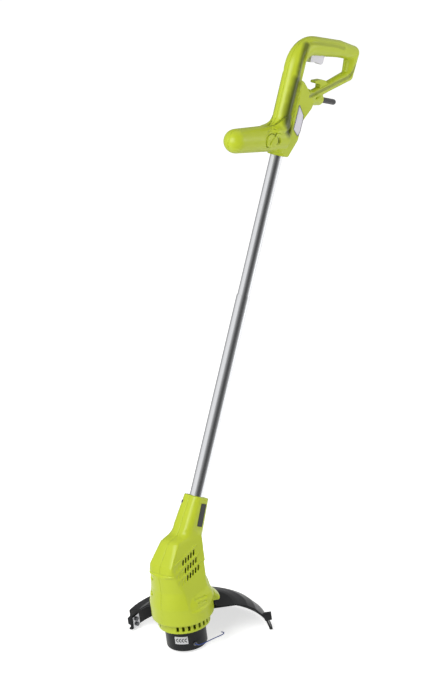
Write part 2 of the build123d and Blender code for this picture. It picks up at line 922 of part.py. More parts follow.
def motor_housing(side):
    body = head_outer() - head_cavity()
    tube_bore = rod(lower_tube_od / 2 + touch_fit, (lower_tube_foot_u, 0, 0), (huge, 0, 0))
    lead_way = rod(lead_r + 2, (lower_tube_foot_u - 2 * lead_tail, 0, 0), (huge, 0, 0))
    cuts = [shaft_frame * tube_bore, shaft_frame * lead_way, badge(side, touch_fit)]
    cuts += [screw_hole(*ends) for ends in housing_screw_ends() + guard_screw_ends()]
    far = block((-huge, -huge, 0), (huge, 0, huge)) if side > 0 else block((-huge, 0, 0), (huge, huge, huge))
    cuts += vent_cuts() + vent_flutes()
    return carved(body - far, cuts)


def vent_ring():
    wall_ring = ring(vent_ring_r, vent_ring_r - vent_ring_wall, vent_ring_z, vent_ring_top_z)
    floor = ring(vent_ring_r, ring_hole_r, vent_ring_z, vent_ring_z + vent_ring_wall)
    flange = ring(flange_cavity_r - touch_fit, vent_ring_r - vent_ring_wall, head_floor_z, vent_ring_top_z)
    low, high = ring_slot_z
    slot = block((vent_ring_r - 2 * vent_ring_wall, -ring_slot / 2, low), (huge, ring_slot / 2, high))
    cuts = []
    for i in range(ring_slots):
        angle = i * 360 / ring_slots
        if abs(angle - 180) > ring_plain_half:
            cuts.append(Rot(0, 0, angle) * slot)
    return carved(joined([wall_ring, floor, flange]), cuts)


# Motor

def motor_shaft():
    return rod(motor_shaft_r, (0, 0, motor_shaft_z[0]), (0, 0, motor_shaft_z[1]))


def on_shaft(shape):
    """The same shape with a hole that fits the motor's shaft."""
    return shape - rod(motor_shaft_r + touch_fit / 2, (0, 0, 0), (0, 0, huge))


def magnets():
    pieces = []
    for middle in (0, 180):
        face = make_face(Polyline(
            (magnet_bore_r, 0, can_z[0] + 3),
            (can_bore_r - touch_fit, 0, can_z[0] + 3),
            (can_bore_r - touch_fit, 0, can_z[1] - 3),
            (magnet_bore_r, 0, can_z[1] - 3),
            close=True))
        pieces.append(Rot(0, 0, middle - magnet_sweep / 2) * revolve(face, Axis.Z, magnet_sweep))
    return Compound(pieces)


def armature_core():
    core = rod(core_r, (0, 0, core_z[0]), (0, 0, core_z[1]))
    slot = block((core_r - core_slot_depth, -core_slot / 2, 0), (huge, core_slot / 2, huge))
    cuts = [Rot(0, 0, i * 360 / core_slots) * slot for i in range(core_slots)]
    return on_shaft(carved(core, cuts))


def armature_winding():
    """The end turns above and below the core."""
    inner, outer = winding_r
    low = ring(outer, inner, core_z[0] - winding_height, core_z[0])
    high = ring(outer, inner, core_z[1], core_z[1] + winding_height)
    return Compound([low, high])


def commutator():
    return on_shaft(rod(commutator_r, (0, 0, commutator_z[0]), (0, 0, commutator_z[1])))


def bearing(low):
    return ring(bearing_r, motor_shaft_r + touch_fit, low, low + bearing_height)


def bearing_plate():
    boss_r = bearing_r + bearing_boss_wall
    disc = rod(flange_cavity_r - touch_fit, (0, 0, plate_z), (0, 0, plate_z + plate_height))
    boss = rod(boss_r, (0, 0, plate_z), (0, 0, plate_z + bearing_height + 2))
    cuts = [rod(bearing_r + touch_fit, (0, 0, plate_z), (0, 0, plate_z + bearing_height))]
    cuts.append(rod(motor_shaft_r + 2, (0, 0, 0), (0, 0, huge)))
    for i in range(plate_holes):
        x, y, z = around_z(plate_hole_at, i * 360 / plate_holes, plate_z)
        cuts.append(rod(plate_hole_r, (x, y, z - 1), (x, y, z + plate_height + 1)))
    return carved(disc + boss, cuts)


def brush_low_z():
    return brush_plate_z + brush_plate_height + 2


def brush_bar(side, clearance):
    """A square bar that points at the commutator from the left or right."""
    reach = commutator_r - 2 if clearance else 0
    low_z = brush_low_z()
    bar = block(
        (-brush_half - clearance, reach, low_z - clearance),
        (brush_half + clearance, commutator_r + brush_length, low_z + brush_height + clearance))
    return bar if side > 0 else mirror(bar, Plane.XZ)


def brush_holder():
    plate = ring(can_r, commutator_r + 3, brush_plate_z, brush_plate_z + brush_plate_height)
    low_z = brush_low_z()
    cuts = []
    pieces = [plate]
    for side in (-1, 1):
        half = brush_half + brush_box_wall
        start = commutator_r + 3.5
        box = block(
            (-half, start, brush_plate_z),
            (half, commutator_r + brush_length + brush_box_wall, low_z + brush_height + brush_box_wall))
        pieces.append(box if side > 0 else mirror(box, Plane.XZ))
        cuts.append(brush_bar(side, touch_fit))
    return carved(joined(pieces), cuts + flats(wall + touch_fit))


def brushes():
    surface = rod(commutator_r + touch_fit, (0, 0, 0), (0, 0, huge))
    return Compound([(brush_bar(side, 0) - surface).solid() for side in (-1, 1)])


def cooling_fan():
    low, high = fan_z
    hub = rod(fan_hub_r, (0, 0, low), (0, 0, high))
    disc = rod(fan_r, (0, 0, high - fan_disc), (0, 0, high))
    blade = block((fan_hub_r - 1, -fan_blade / 2, low), (fan_r, fan_blade / 2, high))
    blades = [Rot(0, 0, i * 360 / fan_blades) * blade for i in range(fan_blades)]
    return on_shaft(joined([hub, disc] + blades))


# Guard

def guard_axis_point():
    return around_z(guard_offset, guard_near_angle, 0)


def guard_place(angle):
    """Turns and moves a piece made at angle 0 about the guard's own axis."""
    return Pos(*guard_axis_point()) * Rot(0, 0, angle)


def guard_inner_profile():
    """The inner face of the guard's far end, one wall in from the outer one."""
    return [(r - guard_wall, z - guard_wall / 2) for r, z in cheek_corner]


def profile_r(points, height):
    """Radius of a falling profile at this height, about the guard's own axis."""
    for (r0, z0), (r1, z1) in zip(points, points[1:]):
        if z1 <= height <= z0:
            return r0 + (r1 - r0) * (z0 - height) / (z0 - z1)
    return points[-1][0]


def guard_section(profile, bottom_r):
    """The guard's cross-section in (radius, height): crown, dome and edge bead."""
    top_z = flange_z
    last_r = profile[-1][0]
    outer = [(guard_offset, top_z), (guard_crown_r, top_z)] + list(profile)
    outer += [(bottom_r, guard_edge_z + guard_edge), (bottom_r, guard_edge_z)]
    inner = [(guard_offset, top_z - guard_wall), (guard_crown_r - 1, top_z - guard_wall)]
    inner += [(r - guard_wall, z - guard_wall / 2) for r, z in profile]
    inner += [(last_r - guard_wall, guard_edge_z)]
    return make_face(Polyline(*[(r, 0, z) for r, z in outer + inner[::-1]], close=True))


def lug(skin_r, z):
    """A small block that grows out of the guard's skin, out to just past its edge."""
    width, height = lug_size
    return block((skin_r - guard_wall, 0, z - height / 2), (guard_edge_r + 1, width, z + height / 2))


def guard():
    dome_sweep = guard_sweep - cheek_sweep
    cheek = guard_profile[:3] + cheek_corner
    dome = revolve(guard_section(guard_profile, guard_edge_r), Axis.Z, dome_sweep + 1)
    box_end = Rot(0, 0, dome_sweep) * revolve(guard_section(cheek, guard_edge_r), Axis.Z, cheek_sweep)
    step_corners = [guard_profile[2], cheek_corner[0], guard_profile[4], guard_profile[3]]
    step = make_face(Polyline(*[(r - guard_wall / 2, 0, z) for r, z in step_corners], close=True))
    step = Rot(0, 0, dome_sweep) * revolve(step, Axis.Z, 1)
    near_lug = lug(profile_r(guard_profile, near_lug_z), near_lug_z)
    far_lug = Rot(0, 0, guard_sweep) * mirror(lug(profile_r(cheek_corner, far_lug_z), far_lug_z), Plane.XZ)
    shell = guard_place(guard_near_angle) * joined([dome, box_end, step, near_lug, far_lug])
    pad_r = cutter_face_r()
    pad = block(
        (pad_r, -cutter_width / 2, guard_edge_z),
        (pad_r + cutter_pad, cutter_width / 2, cutter_foot_z + cutter_height))
    pad = guard_place(cutter_angle) * pad
    collar_r0 = flange_r + part_gap
    collar = make_face(Polyline(
        (collar_r0, 0, flange_z - guard_wall), (collar_r0 + guard_collar, 0, flange_z - guard_wall),
        (collar_r0 + guard_collar, 0, shroud_foot_z), (collar_r0, 0, shroud_foot_z), close=True))
    collar = Rot(0, 0, guard_near_angle + 6) * revolve(collar, Axis.Z, guard_sweep - 14)
    body = joined([shell, pad, collar]) - rod(guard_bore_r, (0, 0, 0), (0, 0, huge))
    return carved(body, [screw_hole(*ends) for ends in guard_screw_ends() + cutter_screw_ends()])


def cutter_face_r():
    """Distance of the flat pad that the blade lies on, clear of the curved skirt behind it."""
    skirt = profile_r(guard_inner_profile(), cutter_foot_z + cutter_height)
    return sqrt(skirt ** 2 - (cutter_width / 2) ** 2) - part_gap


def guard_screw_ends():
    """Guard screws: heads under the guard's top plate, tips up in the housing's floor."""
    ends = []
    for angle in guard_screw_angles:
        foot = around_z(guard_screw_at, angle, flange_z - guard_wall - screw_head_h)
        tip = around_z(guard_screw_at, angle, flange_z + guard_screw_bite)
        ends.append((tip, foot))
    return ends


def cutter_screw_ends():
    """Two screws through the cutter's blade into the guard's pad."""
    ends = []
    face = cutter_face_r() - cutter_thickness
    for side in (-1, 1):
        z = cutter_foot_z + cutter_height / 2 + side * cutter_screw_gap / 2
        place = guard_place(cutter_angle)
        tip = place * Pos(face + cutter_thickness + cutter_pad - 1, 0, z)
        head = place * Pos(face - screw_head_h, 0, z)
        ends.append((tuple(tip.position), tuple(head.position)))
    return ends


def line_cutter():
    face = cutter_face_r() - cutter_thickness
    blade = block(
        (face, -cutter_width / 2, cutter_foot_z),
        (face + cutter_thickness, cutter_width / 2, cutter_foot_z + cutter_height))
    return carved(guard_place(cutter_angle) * blade, [screw_hole(*ends) for ends in cutter_screw_ends()])


# Cutting head

def spool_hub():
    top = fan_z[0]
    cup_under = cup_z[1] - cup_top
    barrel_part = rod(hub_r, (0, 0, hub_z), (0, 0, top))
    flange = rod(hub_flange_r, (0, 0, cup_under - hub_flange), (0, 0, cup_under))
    return on_shaft(barrel_part + flange)


def hub_nut():
    hexagon = extrude(RegularPolygon(nut_r, 6), amount=nut_height)
    return on_shaft(Pos(0, 0, hub_z - nut_height) * hexagon)


def eyelet_ends():
    inner = around_z(cup_r - cup_wall, eyelet_angle, eyelet_z)
    outer = around_z(cup_r + eyelet_proud, eyelet_angle, eyelet_z)
    return inner, outer


def line_eyelet():
    inner, outer = eyelet_ends()
    collar_end = around_z(cup_r + 0.4, eyelet_angle, eyelet_z)
    body = rod(eyelet_r - 0.8, inner, outer) + rod(eyelet_r, collar_end, outer)
    bore_start = around_z(cup_r - 9, eyelet_angle, eyelet_z)
    bore_end = around_z(cup_r + 9, eyelet_angle, eyelet_z)
    return body - rod(eyelet_bore_r, bore_start, bore_end)


def arrow_plate_solid(clearance):
    """A thin curved plate on the cup's wall."""
    width, height = arrow_size
    sector = degrees_of(width + 2 * clearance, cup_r)
    low = arrow_z - height / 2 - clearance
    face = make_face(Polyline(
        (cup_r - 0.5, 0, low), (cup_r + arrow_proud, 0, low),
        (cup_r + arrow_proud, 0, low + height + 2 * clearance), (cup_r - 0.5, 0, low + height + 2 * clearance),
        close=True))
    return Rot(0, 0, arrow_angle - sector / 2) * revolve(face, Axis.Z, sector)


def degrees_of(arc, radius):
    """The angle that an arc of this length takes up."""
    return degrees(arc / radius)


def spool_cup():
    low, high = cup_z
    wall_ring = ring(cup_r, cup_r - cup_wall, low, high)
    top = ring(cup_r, hub_r + touch_fit, high - cup_top, high)
    inner, outer = eyelet_ends()
    hole = rod(eyelet_r - 0.8 + touch_fit, around_z(cup_r - 9, eyelet_angle, eyelet_z), outer)
    body = wall_ring + top
    body = fillet(body.edges().filter_by(GeomType.CIRCLE).group_by(Axis.Z)[-1].sort_by(SortBy.RADIUS)[-1], 1.5)
    return carved(body, [hole, arrow_plate_solid(touch_fit)])


def spool_cover():
    """The cap that closes the cup and leaves a hole for the tap button."""
    low = cup_z[0]
    floor = ring(cup_r, cover_hole_r, cover_z, cover_z + cover_height)
    rim = ring(cup_r, cup_r - cup_wall, cover_z, low)
    snap = ring(cup_r - cup_wall - touch_fit, cup_r - cup_wall - snap_wall, cover_z, low + 3)
    body = joined([floor, rim, snap])
    return fillet(body.edges().filter_by(GeomType.CIRCLE).group_by(Axis.Z)[0].sort_by(SortBy.RADIUS)[-1], 2.0)


def spool():
    low, high = spool_z
    core = ring(spool_core_r, spool_bore_r, low, high)
    bottom = ring(spool_r, spool_bore_r, low, low + spool_flange)
    top = ring(spool_r, spool_bore_r, high - spool_flange, high)
    return joined([core, bottom, top])


def line_winding():
    """The wound line, as the plain ring that it fills."""
    low, high = spool_z
    return ring(winding_fill_r, spool_core_r + touch_fit, low + spool_flange + 0.1, high - spool_flange - 0.1)


def tap_button():
    low = spool_z[0]
    body = rod(button_r, (0, 0, 0), (0, 0, low))
    body = fillet(body.edges().group_by(Axis.Z)[0], 2.5)
    stem = rod(button_stem_r, (0, 0, low), (0, 0, button_stem_z))
    bore = rod(button_bore_r, (0, 0, button_floor), (0, 0, huge))
    return body + stem - bore


def spool_spring():
    top = cup_z[1] - cup_top - hub_flange
    return coil(spool_spring_r, spool_wire_r, button_stem_z + spring_gap, top, spool_spring_turns)


def cutting_line():
    points = [Vector(*point) for point in line_route]
    radii = []
    for before, here, after in zip(points, points[1:], points[2:]):
        turn = (here - before).get_angle(after - here)
        shorter = min((here - before).length, (after - here).length)
        radii.append(line_bend_share * shorter / tan(radians(turn / 2)))
    path = FilletPolyline(*points, radius=radii)
    body = sweep(Plane(origin=path @ 0, z_dir=path % 0) * Circle(line_r), path=path)
    section = pi * line_r ** 2
    print("cutting line length", round(path.length, 1), "radii", [round(r, 1) for r in radii])
    print("cutting line volume", round(body.volume, 2), "from its length", round(section * path.length, 2))
    return body


# Tubes

def upper_tube():
    foot = tube_joint_u - tube_overlap
    top = handle_mouth_u + upper_tube_in_handle
    ends = (foot, 0, 0), (top, 0, 0)
    return shaft_frame * (rod(upper_tube_od / 2, *ends) - rod(upper_tube_id / 2, *ends))


def lower_tube():
    ends = (lower_tube_foot_u, 0, 0), (tube_joint_u, 0, 0)
    return shaft_frame * (rod(lower_tube_od / 2, *ends) - rod(lower_tube_id / 2, *ends))


def motor_lead():
    start = (lower_tube_foot_u - lead_tail, 0, 0)
    end = (handle_mouth_u + terminal_u[0], 0, 0)
    return shaft_frame * rod(lead_r, start, end)


def lead_grommet():
    """Rubber bush that holds the lead in the foot of the lower tube."""
    ends = (lower_tube_foot_u, 0, 0), (lower_tube_foot_u + grommet_length, 0, 0)
    body = rod(lower_tube_id / 2 - touch_fit, *ends) - rod(lead_r + touch_fit, *ends)
    return shaft_frame * body


def in_handle(shape):
    return handle_frame * shape


def all_screws(ends):
    return Compound([screw(*pair).solid() for pair in ends])


def both_sides(maker):
    return Compound([maker(side, 0).solid() for side in (-1, 1)])


parts = {
    "handle_shell_left": in_handle(handle_shell(-1)),
    "handle_shell_right": in_handle(handle_shell(1)),
    "handle_screws": in_handle(all_screws(handle_screw_ends())),
    "grip_caps": in_handle(both_sides(grip_cap)),
    "side_panels": in_handle(both_sides(panel)),
    "cord_hook": in_handle(cord_hook()),
    "cord_boot": in_handle(cord_boot()),
    "cord_clamp": in_handle(cord_clamp_box(0)),
    "terminal_block": in_handle(terminal_box(0)),
    "trigger": in_handle(trigger()),
    "trigger_pin": in_handle(trigger_pin(0)),
    "trigger_spring": in_handle(trigger_spring()),
    "switch_body": in_handle(switch_body()),
    "switch_plunger": in_handle(switch_plunger()),
    "upper_tube": upper_tube(),
    "lower_tube": lower_tube(),
    "motor_lead": motor_lead(),
    "lead_grommet": lead_grommet(),
    "motor_housing_left": motor_housing(-1),
    "motor_housing_right": motor_housing(1),
    "housing_screws": all_screws(housing_screw_ends()),
    "badge_plates": both_sides(badge),
    "vent_ring": vent_ring(),
    "motor_can": ring(can_r, can_bore_r, *can_z),
    "motor_magnets": magnets(),
    "motor_shaft": motor_shaft(),
    "armature_core": armature_core(),
    "armature_winding": armature_winding(),
    "commutator": commutator(),
    "upper_bearing": bearing(upper_bearing_z),
    "lower_bearing": bearing(plate_z),
    "bearing_plate": bearing_plate(),
    "brush_holder": brush_holder(),
    "brushes": brushes(),
    "cooling_fan": cooling_fan(),
    "guard": guard(),
    "guard_screws": all_screws(guard_screw_ends()),
    "line_cutter": line_cutter(),
    "cutter_screws": all_screws(cutter_screw_ends()),
    "spool_hub": spool_hub(),
    "hub_nut": hub_nut(),
    "spool_cup": spool_cup(),
    "spool_cover": spool_cover(),
    "line_eyelet": line_eyelet(),
    "arrow_plate": arrow_plate_solid(0),
    "spool": spool(),
    "line_winding": line_winding(),
    "tap_button": tap_button(),
    "spool_spring": spool_spring(),
    "cutting_line": cutting_line(),
}

os.makedirs("parts", exist_ok=True)
for name, shape in parts.items():
    export_step(shape, f"parts/{name}.step")
    print(name, len(shape.solids()), round(shape.volume / 1000, 2), "cm3")
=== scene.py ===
# %% [markdown]
# # A corded string trimmer
# This lesson dresses a finished CAD model of a garden string trimmer: a motor head with a half guard
# and a line spool, a straight two-part tube, and a closed handle with a trigger and a front grip.
# The CAD solids already have the right sizes, so they load as a fixed frame. Each step then adds
# what the solids lack: moulded blends, small details and believable finishes.

# %% Load the frame
from math import cos, radians, sin, tan

import bmesh
import bpy
import numpy as np
from mathutils import Matrix, Vector
from mathutils.bvhtree import BVHTree


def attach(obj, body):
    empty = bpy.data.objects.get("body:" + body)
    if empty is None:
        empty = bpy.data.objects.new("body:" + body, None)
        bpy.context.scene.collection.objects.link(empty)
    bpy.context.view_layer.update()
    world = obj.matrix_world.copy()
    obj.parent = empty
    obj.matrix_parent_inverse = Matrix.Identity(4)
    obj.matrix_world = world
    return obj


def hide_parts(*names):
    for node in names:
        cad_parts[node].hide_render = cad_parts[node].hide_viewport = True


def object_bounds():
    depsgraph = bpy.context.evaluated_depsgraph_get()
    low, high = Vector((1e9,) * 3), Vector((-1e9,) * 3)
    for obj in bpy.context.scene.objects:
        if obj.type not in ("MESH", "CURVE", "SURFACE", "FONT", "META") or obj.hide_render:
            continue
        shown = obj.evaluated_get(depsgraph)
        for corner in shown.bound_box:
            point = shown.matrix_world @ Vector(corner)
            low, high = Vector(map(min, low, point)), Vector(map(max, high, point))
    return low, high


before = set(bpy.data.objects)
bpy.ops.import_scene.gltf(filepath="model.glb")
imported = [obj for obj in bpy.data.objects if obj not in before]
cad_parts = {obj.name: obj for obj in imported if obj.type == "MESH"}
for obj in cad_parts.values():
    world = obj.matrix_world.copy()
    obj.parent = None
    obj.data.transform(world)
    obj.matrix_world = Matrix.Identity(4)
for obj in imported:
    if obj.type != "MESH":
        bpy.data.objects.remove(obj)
cad_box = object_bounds()
MM = 0.001

# %% [markdown]
# ## The leaning frame
# The tubes and the handle lean 32 degrees towards the operator. It helps to describe a handle point
# by u, the distance up the shaft from the handle's mouth, v, the distance square to it towards the
# operator, and w, which is the machine's Y. One short function turns such a point, in millimetres,
# into scene metres.

# %% Points on the leaning handle and shaft
SHAFT_LEAN = radians(32.0)
UP_SHAFT = Vector((sin(SHAFT_LEAN), 0.0, cos(SHAFT_LEAN)))
TO_OPERATOR = Vector((cos(SHAFT_LEAN), 0.0, -sin(SHAFT_LEAN)))
SHAFT_FOOT = Vector((0.0, 0.0, 121.5))
HANDLE_MOUTH_U = 668.0


def shaft_point(u, v, w):
    return (SHAFT_FOOT + UP_SHAFT * u + TO_OPERATOR * v + Vector((0.0, w, 0.0))) * MM


def handle_point(u, v, w):
    return shaft_point(HANDLE_MOUTH_U + u, v, w)


print("handle mouth at", [round(c, 3) for c in handle_point(0, 0, 0)])

# %% [markdown]
# ## Camera
# The photograph looks down at the trimmer from its front left, from a long way off, and the picture
# is rolled a little so that the tool leans across the frame. A long lens far away keeps the tube's
# two ends nearly the same width, as they are in the picture.

# %% Camera
CAMERA_TARGET = Vector((0.1616, 0.0, 0.4519))
CAMERA_HEADING = radians(47.0)
CAMERA_ELEVATION = radians(28.0)
CAMERA_ROLL = radians(-8.0)
CAMERA_DISTANCE = 20.0
PICTURE_HEIGHT = 1.066
SENSOR = 36.0

away = Vector((
    -sin(CAMERA_HEADING) * cos(CAMERA_ELEVATION),
    -cos(CAMERA_HEADING) * cos(CAMERA_ELEVATION),
    sin(CAMERA_ELEVATION),
))
camera_data = bpy.data.cameras.new("camera")
camera_data.sensor_fit = "VERTICAL"
camera_data.sensor_height = SENSOR
camera_data.lens = SENSOR * CAMERA_DISTANCE / PICTURE_HEIGHT
camera = bpy.data.objects.new("camera", camera_data)
bpy.context.scene.collection.objects.link(camera)
facing = (-away).to_track_quat("-Z", "Y").to_matrix().to_4x4()
camera.matrix_world = (
    Matrix.Translation(CAMERA_TARGET + away * CAMERA_DISTANCE)
    @ facing
    @ Matrix.Rotation(CAMERA_ROLL, 4, "Z")
)
bpy.context.scene.camera = camera
print("lens", round(camera_data.lens, 1), "mm")

# %% [markdown]
# ## Small helpers for materials
# Colours are written as the hex values an artist would pick from a screen. Cycles works with linear
# light, so one function converts them. A second one adds a shader node, sets its values and links
# its inputs in a single call, which keeps each material readable from top to bottom.

# %% Colour and node helpers


def linear(hex_colour):
    values = [int(hex_colour[i:i + 2], 16) / 255 for i in (1, 3, 5)]
    bent = [c / 12.92 if c <= 0.04045 else ((c + 0.055) / 1.055) ** 2.4 for c in values]
    return (*bent, 1.0)


def add_node(tree, kind, settings=None, values=None, links=None):
    node = tree.nodes.new(kind)
    for name, value in (settings or {}).items():
        setattr(node, name, value)
    for name, value in (values or {}).items():
        node.inputs[name].default_value = value
    for name, source in (links or {}).items():
        tree.links.new(source, node.inputs[name])
    return node


def new_material(name):
    material = bpy.data.materials.new(name)
    material.use_nodes = True
    tree = material.node_tree
    tree.nodes.clear()
    output = add_node(tree, "ShaderNodeOutputMaterial")
    place = add_node(tree, "ShaderNodeTexCoord").outputs["Object"]
    return material, tree, output, place


# %% [markdown]
# ## Moulded plastics
# Most of the trimmer is injection-moulded ABS or polypropylene. A mould leaves a fine spark-eroded
# texture, which scatters the highlight, and faint flow marks, which vary its width by a few percent.
# One function makes every moulded plastic from its colour, its gloss and the size of its grain. The
# real grain is about 0.1 mm, too fine to show here, so it is drawn coarser. A plastic with painted shade
# has a second, darker colour wherever its piece's own painted shade mask says so.

# %% Moulded plastics
FLOW_MARK = 38
GRAIN_RELIEF = 0.15
PLASTIC_IOR = 1.52


def moulded_plastic(name, colour, shade, roughness, grain_mm, grain_depth, gleam=0.5, painted_shade=None):
    material, tree, output, place = new_material(name)
    flow = add_node(tree, "ShaderNodeTexNoise", values={"Scale": 1 / (FLOW_MARK * MM), "Detail": 3.0},
                    links={"Vector": place})
    tint = add_node(tree, "ShaderNodeMix", {"data_type": "RGBA"}, {6: linear(shade), 7: linear(colour)},
                    {0: flow.outputs["Fac"]})
    base = tint.outputs[2]
    # Painted shade: the second colour darkens the piece wherever its mask says so
    if painted_shade:
        mask = add_node(tree, "ShaderNodeAttribute", {"attribute_name": "painted_shade"})
        second = add_node(tree, "ShaderNodeMix", {"data_type": "RGBA"}, {7: linear(painted_shade)},
                          {0: mask.outputs["Fac"], 6: base})
        base = second.outputs[2]
    gloss = add_node(tree, "ShaderNodeMapRange", values={
        "From Min": 0.3, "From Max": 0.7, "To Min": roughness - 0.04, "To Max": roughness + 0.05},
        links={"Value": flow.outputs["Fac"]})
    grain = add_node(tree, "ShaderNodeTexNoise", values={"Scale": 1 / (grain_mm * MM), "Detail": 2.0},
                     links={"Vector": place})
    bump = add_node(tree, "ShaderNodeBump", values={"Strength": grain_depth, "Distance": GRAIN_RELIEF * MM},
                    links={"Height": grain.outputs["Fac"]})
    shader = add_node(tree, "ShaderNodeBsdfPrincipled", values={
        "IOR": PLASTIC_IOR, "Specular IOR Level": gleam},
        links={"Base Color": base, "Roughness": gloss.outputs[0], "Normal": bump.outputs[0]})
    tree.links.new(shader.outputs[0], output.inputs["Surface"])
    return material


# Colour, shade, roughness, grain in millimetres, depth of the grain and gleam
LIME = ("#C9D830", "#BFCF2B", 0.34, 0.9, 0.16, 0.4)
# Dyed ABS from a fine mould: a clean lime with a soft, broad highlight
green_abs = moulded_plastic("green moulded ABS", *LIME)
# The same ABS with painted shade, near black where the eye looks through the vents into the housing
vented_abs = moulded_plastic("green ABS with painted shade behind the vents", *LIME, painted_shade="#16180C")
# The same ABS with painted shade in its grooves, so that they read as deep
grip_abs = moulded_plastic("green ABS with painted shade in its grooves", *LIME, painted_shade="#4F5914")
# Tough filled nylon: nearly black, with a dull gleam broken up by a coarser grain
black_nylon = moulded_plastic("black moulded nylon", "#1D1E20", "#17181A", 0.34, 0.8, 0.3, 0.18)
# Dense rubber from a polished mould: black with a narrow, slightly wet highlight
black_rubber = moulded_plastic("black moulded rubber", "#1F1F20", "#19191A", 0.27, 0.6, 0.2, 0.5)
# Uncoated pale ABS: a cool off-white that stays matt
grey_abs = moulded_plastic("pale grey moulded ABS", "#F0EEF6", "#EAE8F2", 0.4, 0.9, 0.12)
# A satin plate let into the housing: dark grey, flatter than the guard
dark_plate = moulded_plastic("dark satin plate", "#303231", "#2A2C2B", 0.38, 0.7, 0.15, 0.3)
# Printed vinyl: smooth and pale, almost without grain
label_vinyl = moulded_plastic("pale printed vinyl", "#DADADC", "#D2D2D6", 0.34, 1.2, 0.05)
# Ink on the vinyl: dark and a little duller than its ground
label_ink = moulded_plastic("dark printed ink", "#2E2F33", "#28292D", 0.4, 1.2, 0.05, 0.3)
print("plastics:", [m.name for m in bpy.data.materials])

# %% [markdown]
# ## Metals
# The tubes are steel with a bright nickel plating. Drawing a tube through a die leaves hair-fine
# lines along it, so the highlight spreads across the tube and stays sharp along it. Noise that is
# stretched far along the shaft gives those lines; a Mapping node turns them to the shaft's lean.
# The same function serves the screws, the blade and the motor's steel, with rounder grain.

# %% Metals
METAL_RELIEF = 0.05


def metal(name, colour, shade, roughness, grain_mm, stretch=1.0, lean=0.0, depth=0.05):
    material, tree, output, place = new_material(name)
    turned = add_node(tree, "ShaderNodeMapping", {"vector_type": "TEXTURE"}, {
        "Rotation": (0.0, lean, 0.0), "Scale": (1.0, 1.0, stretch)}, {"Vector": place})
    grain = add_node(tree, "ShaderNodeTexNoise", values={"Scale": 1 / (grain_mm * MM), "Detail": 3.0},
                     links={"Vector": turned.outputs[0]})
    tint = add_node(tree, "ShaderNodeMix", {"data_type": "RGBA"}, {6: linear(shade), 7: linear(colour)},
                    {0: grain.outputs["Fac"]})
    polish = add_node(tree, "ShaderNodeMapRange", values={
        "From Min": 0.3, "From Max": 0.7, "To Min": roughness - 0.03, "To Max": roughness + 0.03},
        links={"Value": grain.outputs["Fac"]})
    bump = add_node(tree, "ShaderNodeBump", values={"Strength": depth, "Distance": METAL_RELIEF * MM},
                    links={"Height": grain.outputs["Fac"]})
    shader = add_node(tree, "ShaderNodeBsdfPrincipled", values={"Metallic": 1.0}, links={
        "Base Color": tint.outputs[2], "Roughness": polish.outputs[0], "Normal": bump.outputs[0]})
    tree.links.new(shader.outputs[0], output.inputs["Surface"])
    return material


# Nickel over drawn steel: a pale mirror, blurred across the tube, that shows the studio as long streaks
plated_tube = metal("nickel plated steel tube", "#E4E5E7", "#DADBDE", 0.2, 0.7, 60.0, SHAFT_LEAN, 0.004)
# Rolled and ground steel: bright, with a soft reflection
bright_steel = metal("bright rolled steel", "#D2D2D4", "#B9BABD", 0.26, 0.8)
# Chemically blackened steel: a dark grey sheen without clear reflections
dark_steel = metal("blackened steel", "#6A6B6E", "#56575A", 0.4, 0.8)
# Die-cast aluminium: grey and faintly rough
cast_alloy = metal("cast aluminium", "#C4C5C7", "#AEB0B2", 0.45, 0.6, depth=0.3)
# Wound wire under enamel: warm brown with a soft gleam
copper = metal("enamelled copper", "#B8723F", "#A05F33", 0.32, 0.5)
# Pressed and fired powder: nearly black and dry
carbon = metal("sintered ferrite and carbon", "#3A3A3C", "#303032", 0.6, 0.5, depth=0.3)
print("materials so far:", len(bpy.data.materials))

# %% [markdown]
# ## Nylon line
# The cutting line is extruded nylon, dyed through. It is smooth and slightly clear, so it gets a
# tight highlight and a little light carried under its skin.

# %% Nylon line
STREAK = 3
NYLON_IOR = 1.53
UNDER_SKIN = 0.5


def extruded_nylon(name, colour, shade):
    material, tree, output, place = new_material(name)
    streak = add_node(tree, "ShaderNodeTexNoise", values={"Scale": 1 / (STREAK * MM), "Detail": 2.0},
                      links={"Vector": place})
    tint = add_node(tree, "ShaderNodeMix", {"data_type": "RGBA"}, {6: linear(shade), 7: linear(colour)},
                    {0: streak.outputs["Fac"]})
    shader = add_node(tree, "ShaderNodeBsdfPrincipled", values={
        "Roughness": 0.24, "IOR": NYLON_IOR, "Subsurface Weight": 0.15, "Subsurface Scale": UNDER_SKIN * MM},
        links={"Base Color": tint.outputs[2]})
    tree.links.new(shader.outputs[0], output.inputs["Surface"])
    return material


# Dyed nylon straight from the die: a deep, clear blue with a tight highlight
blue_nylon = extruded_nylon("blue extruded nylon", "#3A55A0", "#2D4488")

# %% [markdown]
# ## Finishes for the CAD nodes
# Many solids already have their final shape: screws, bearings, the spool. Those nodes stay as they
# are and only need a finish. Nodes that a later step replaces get one too, so nothing is left bare.

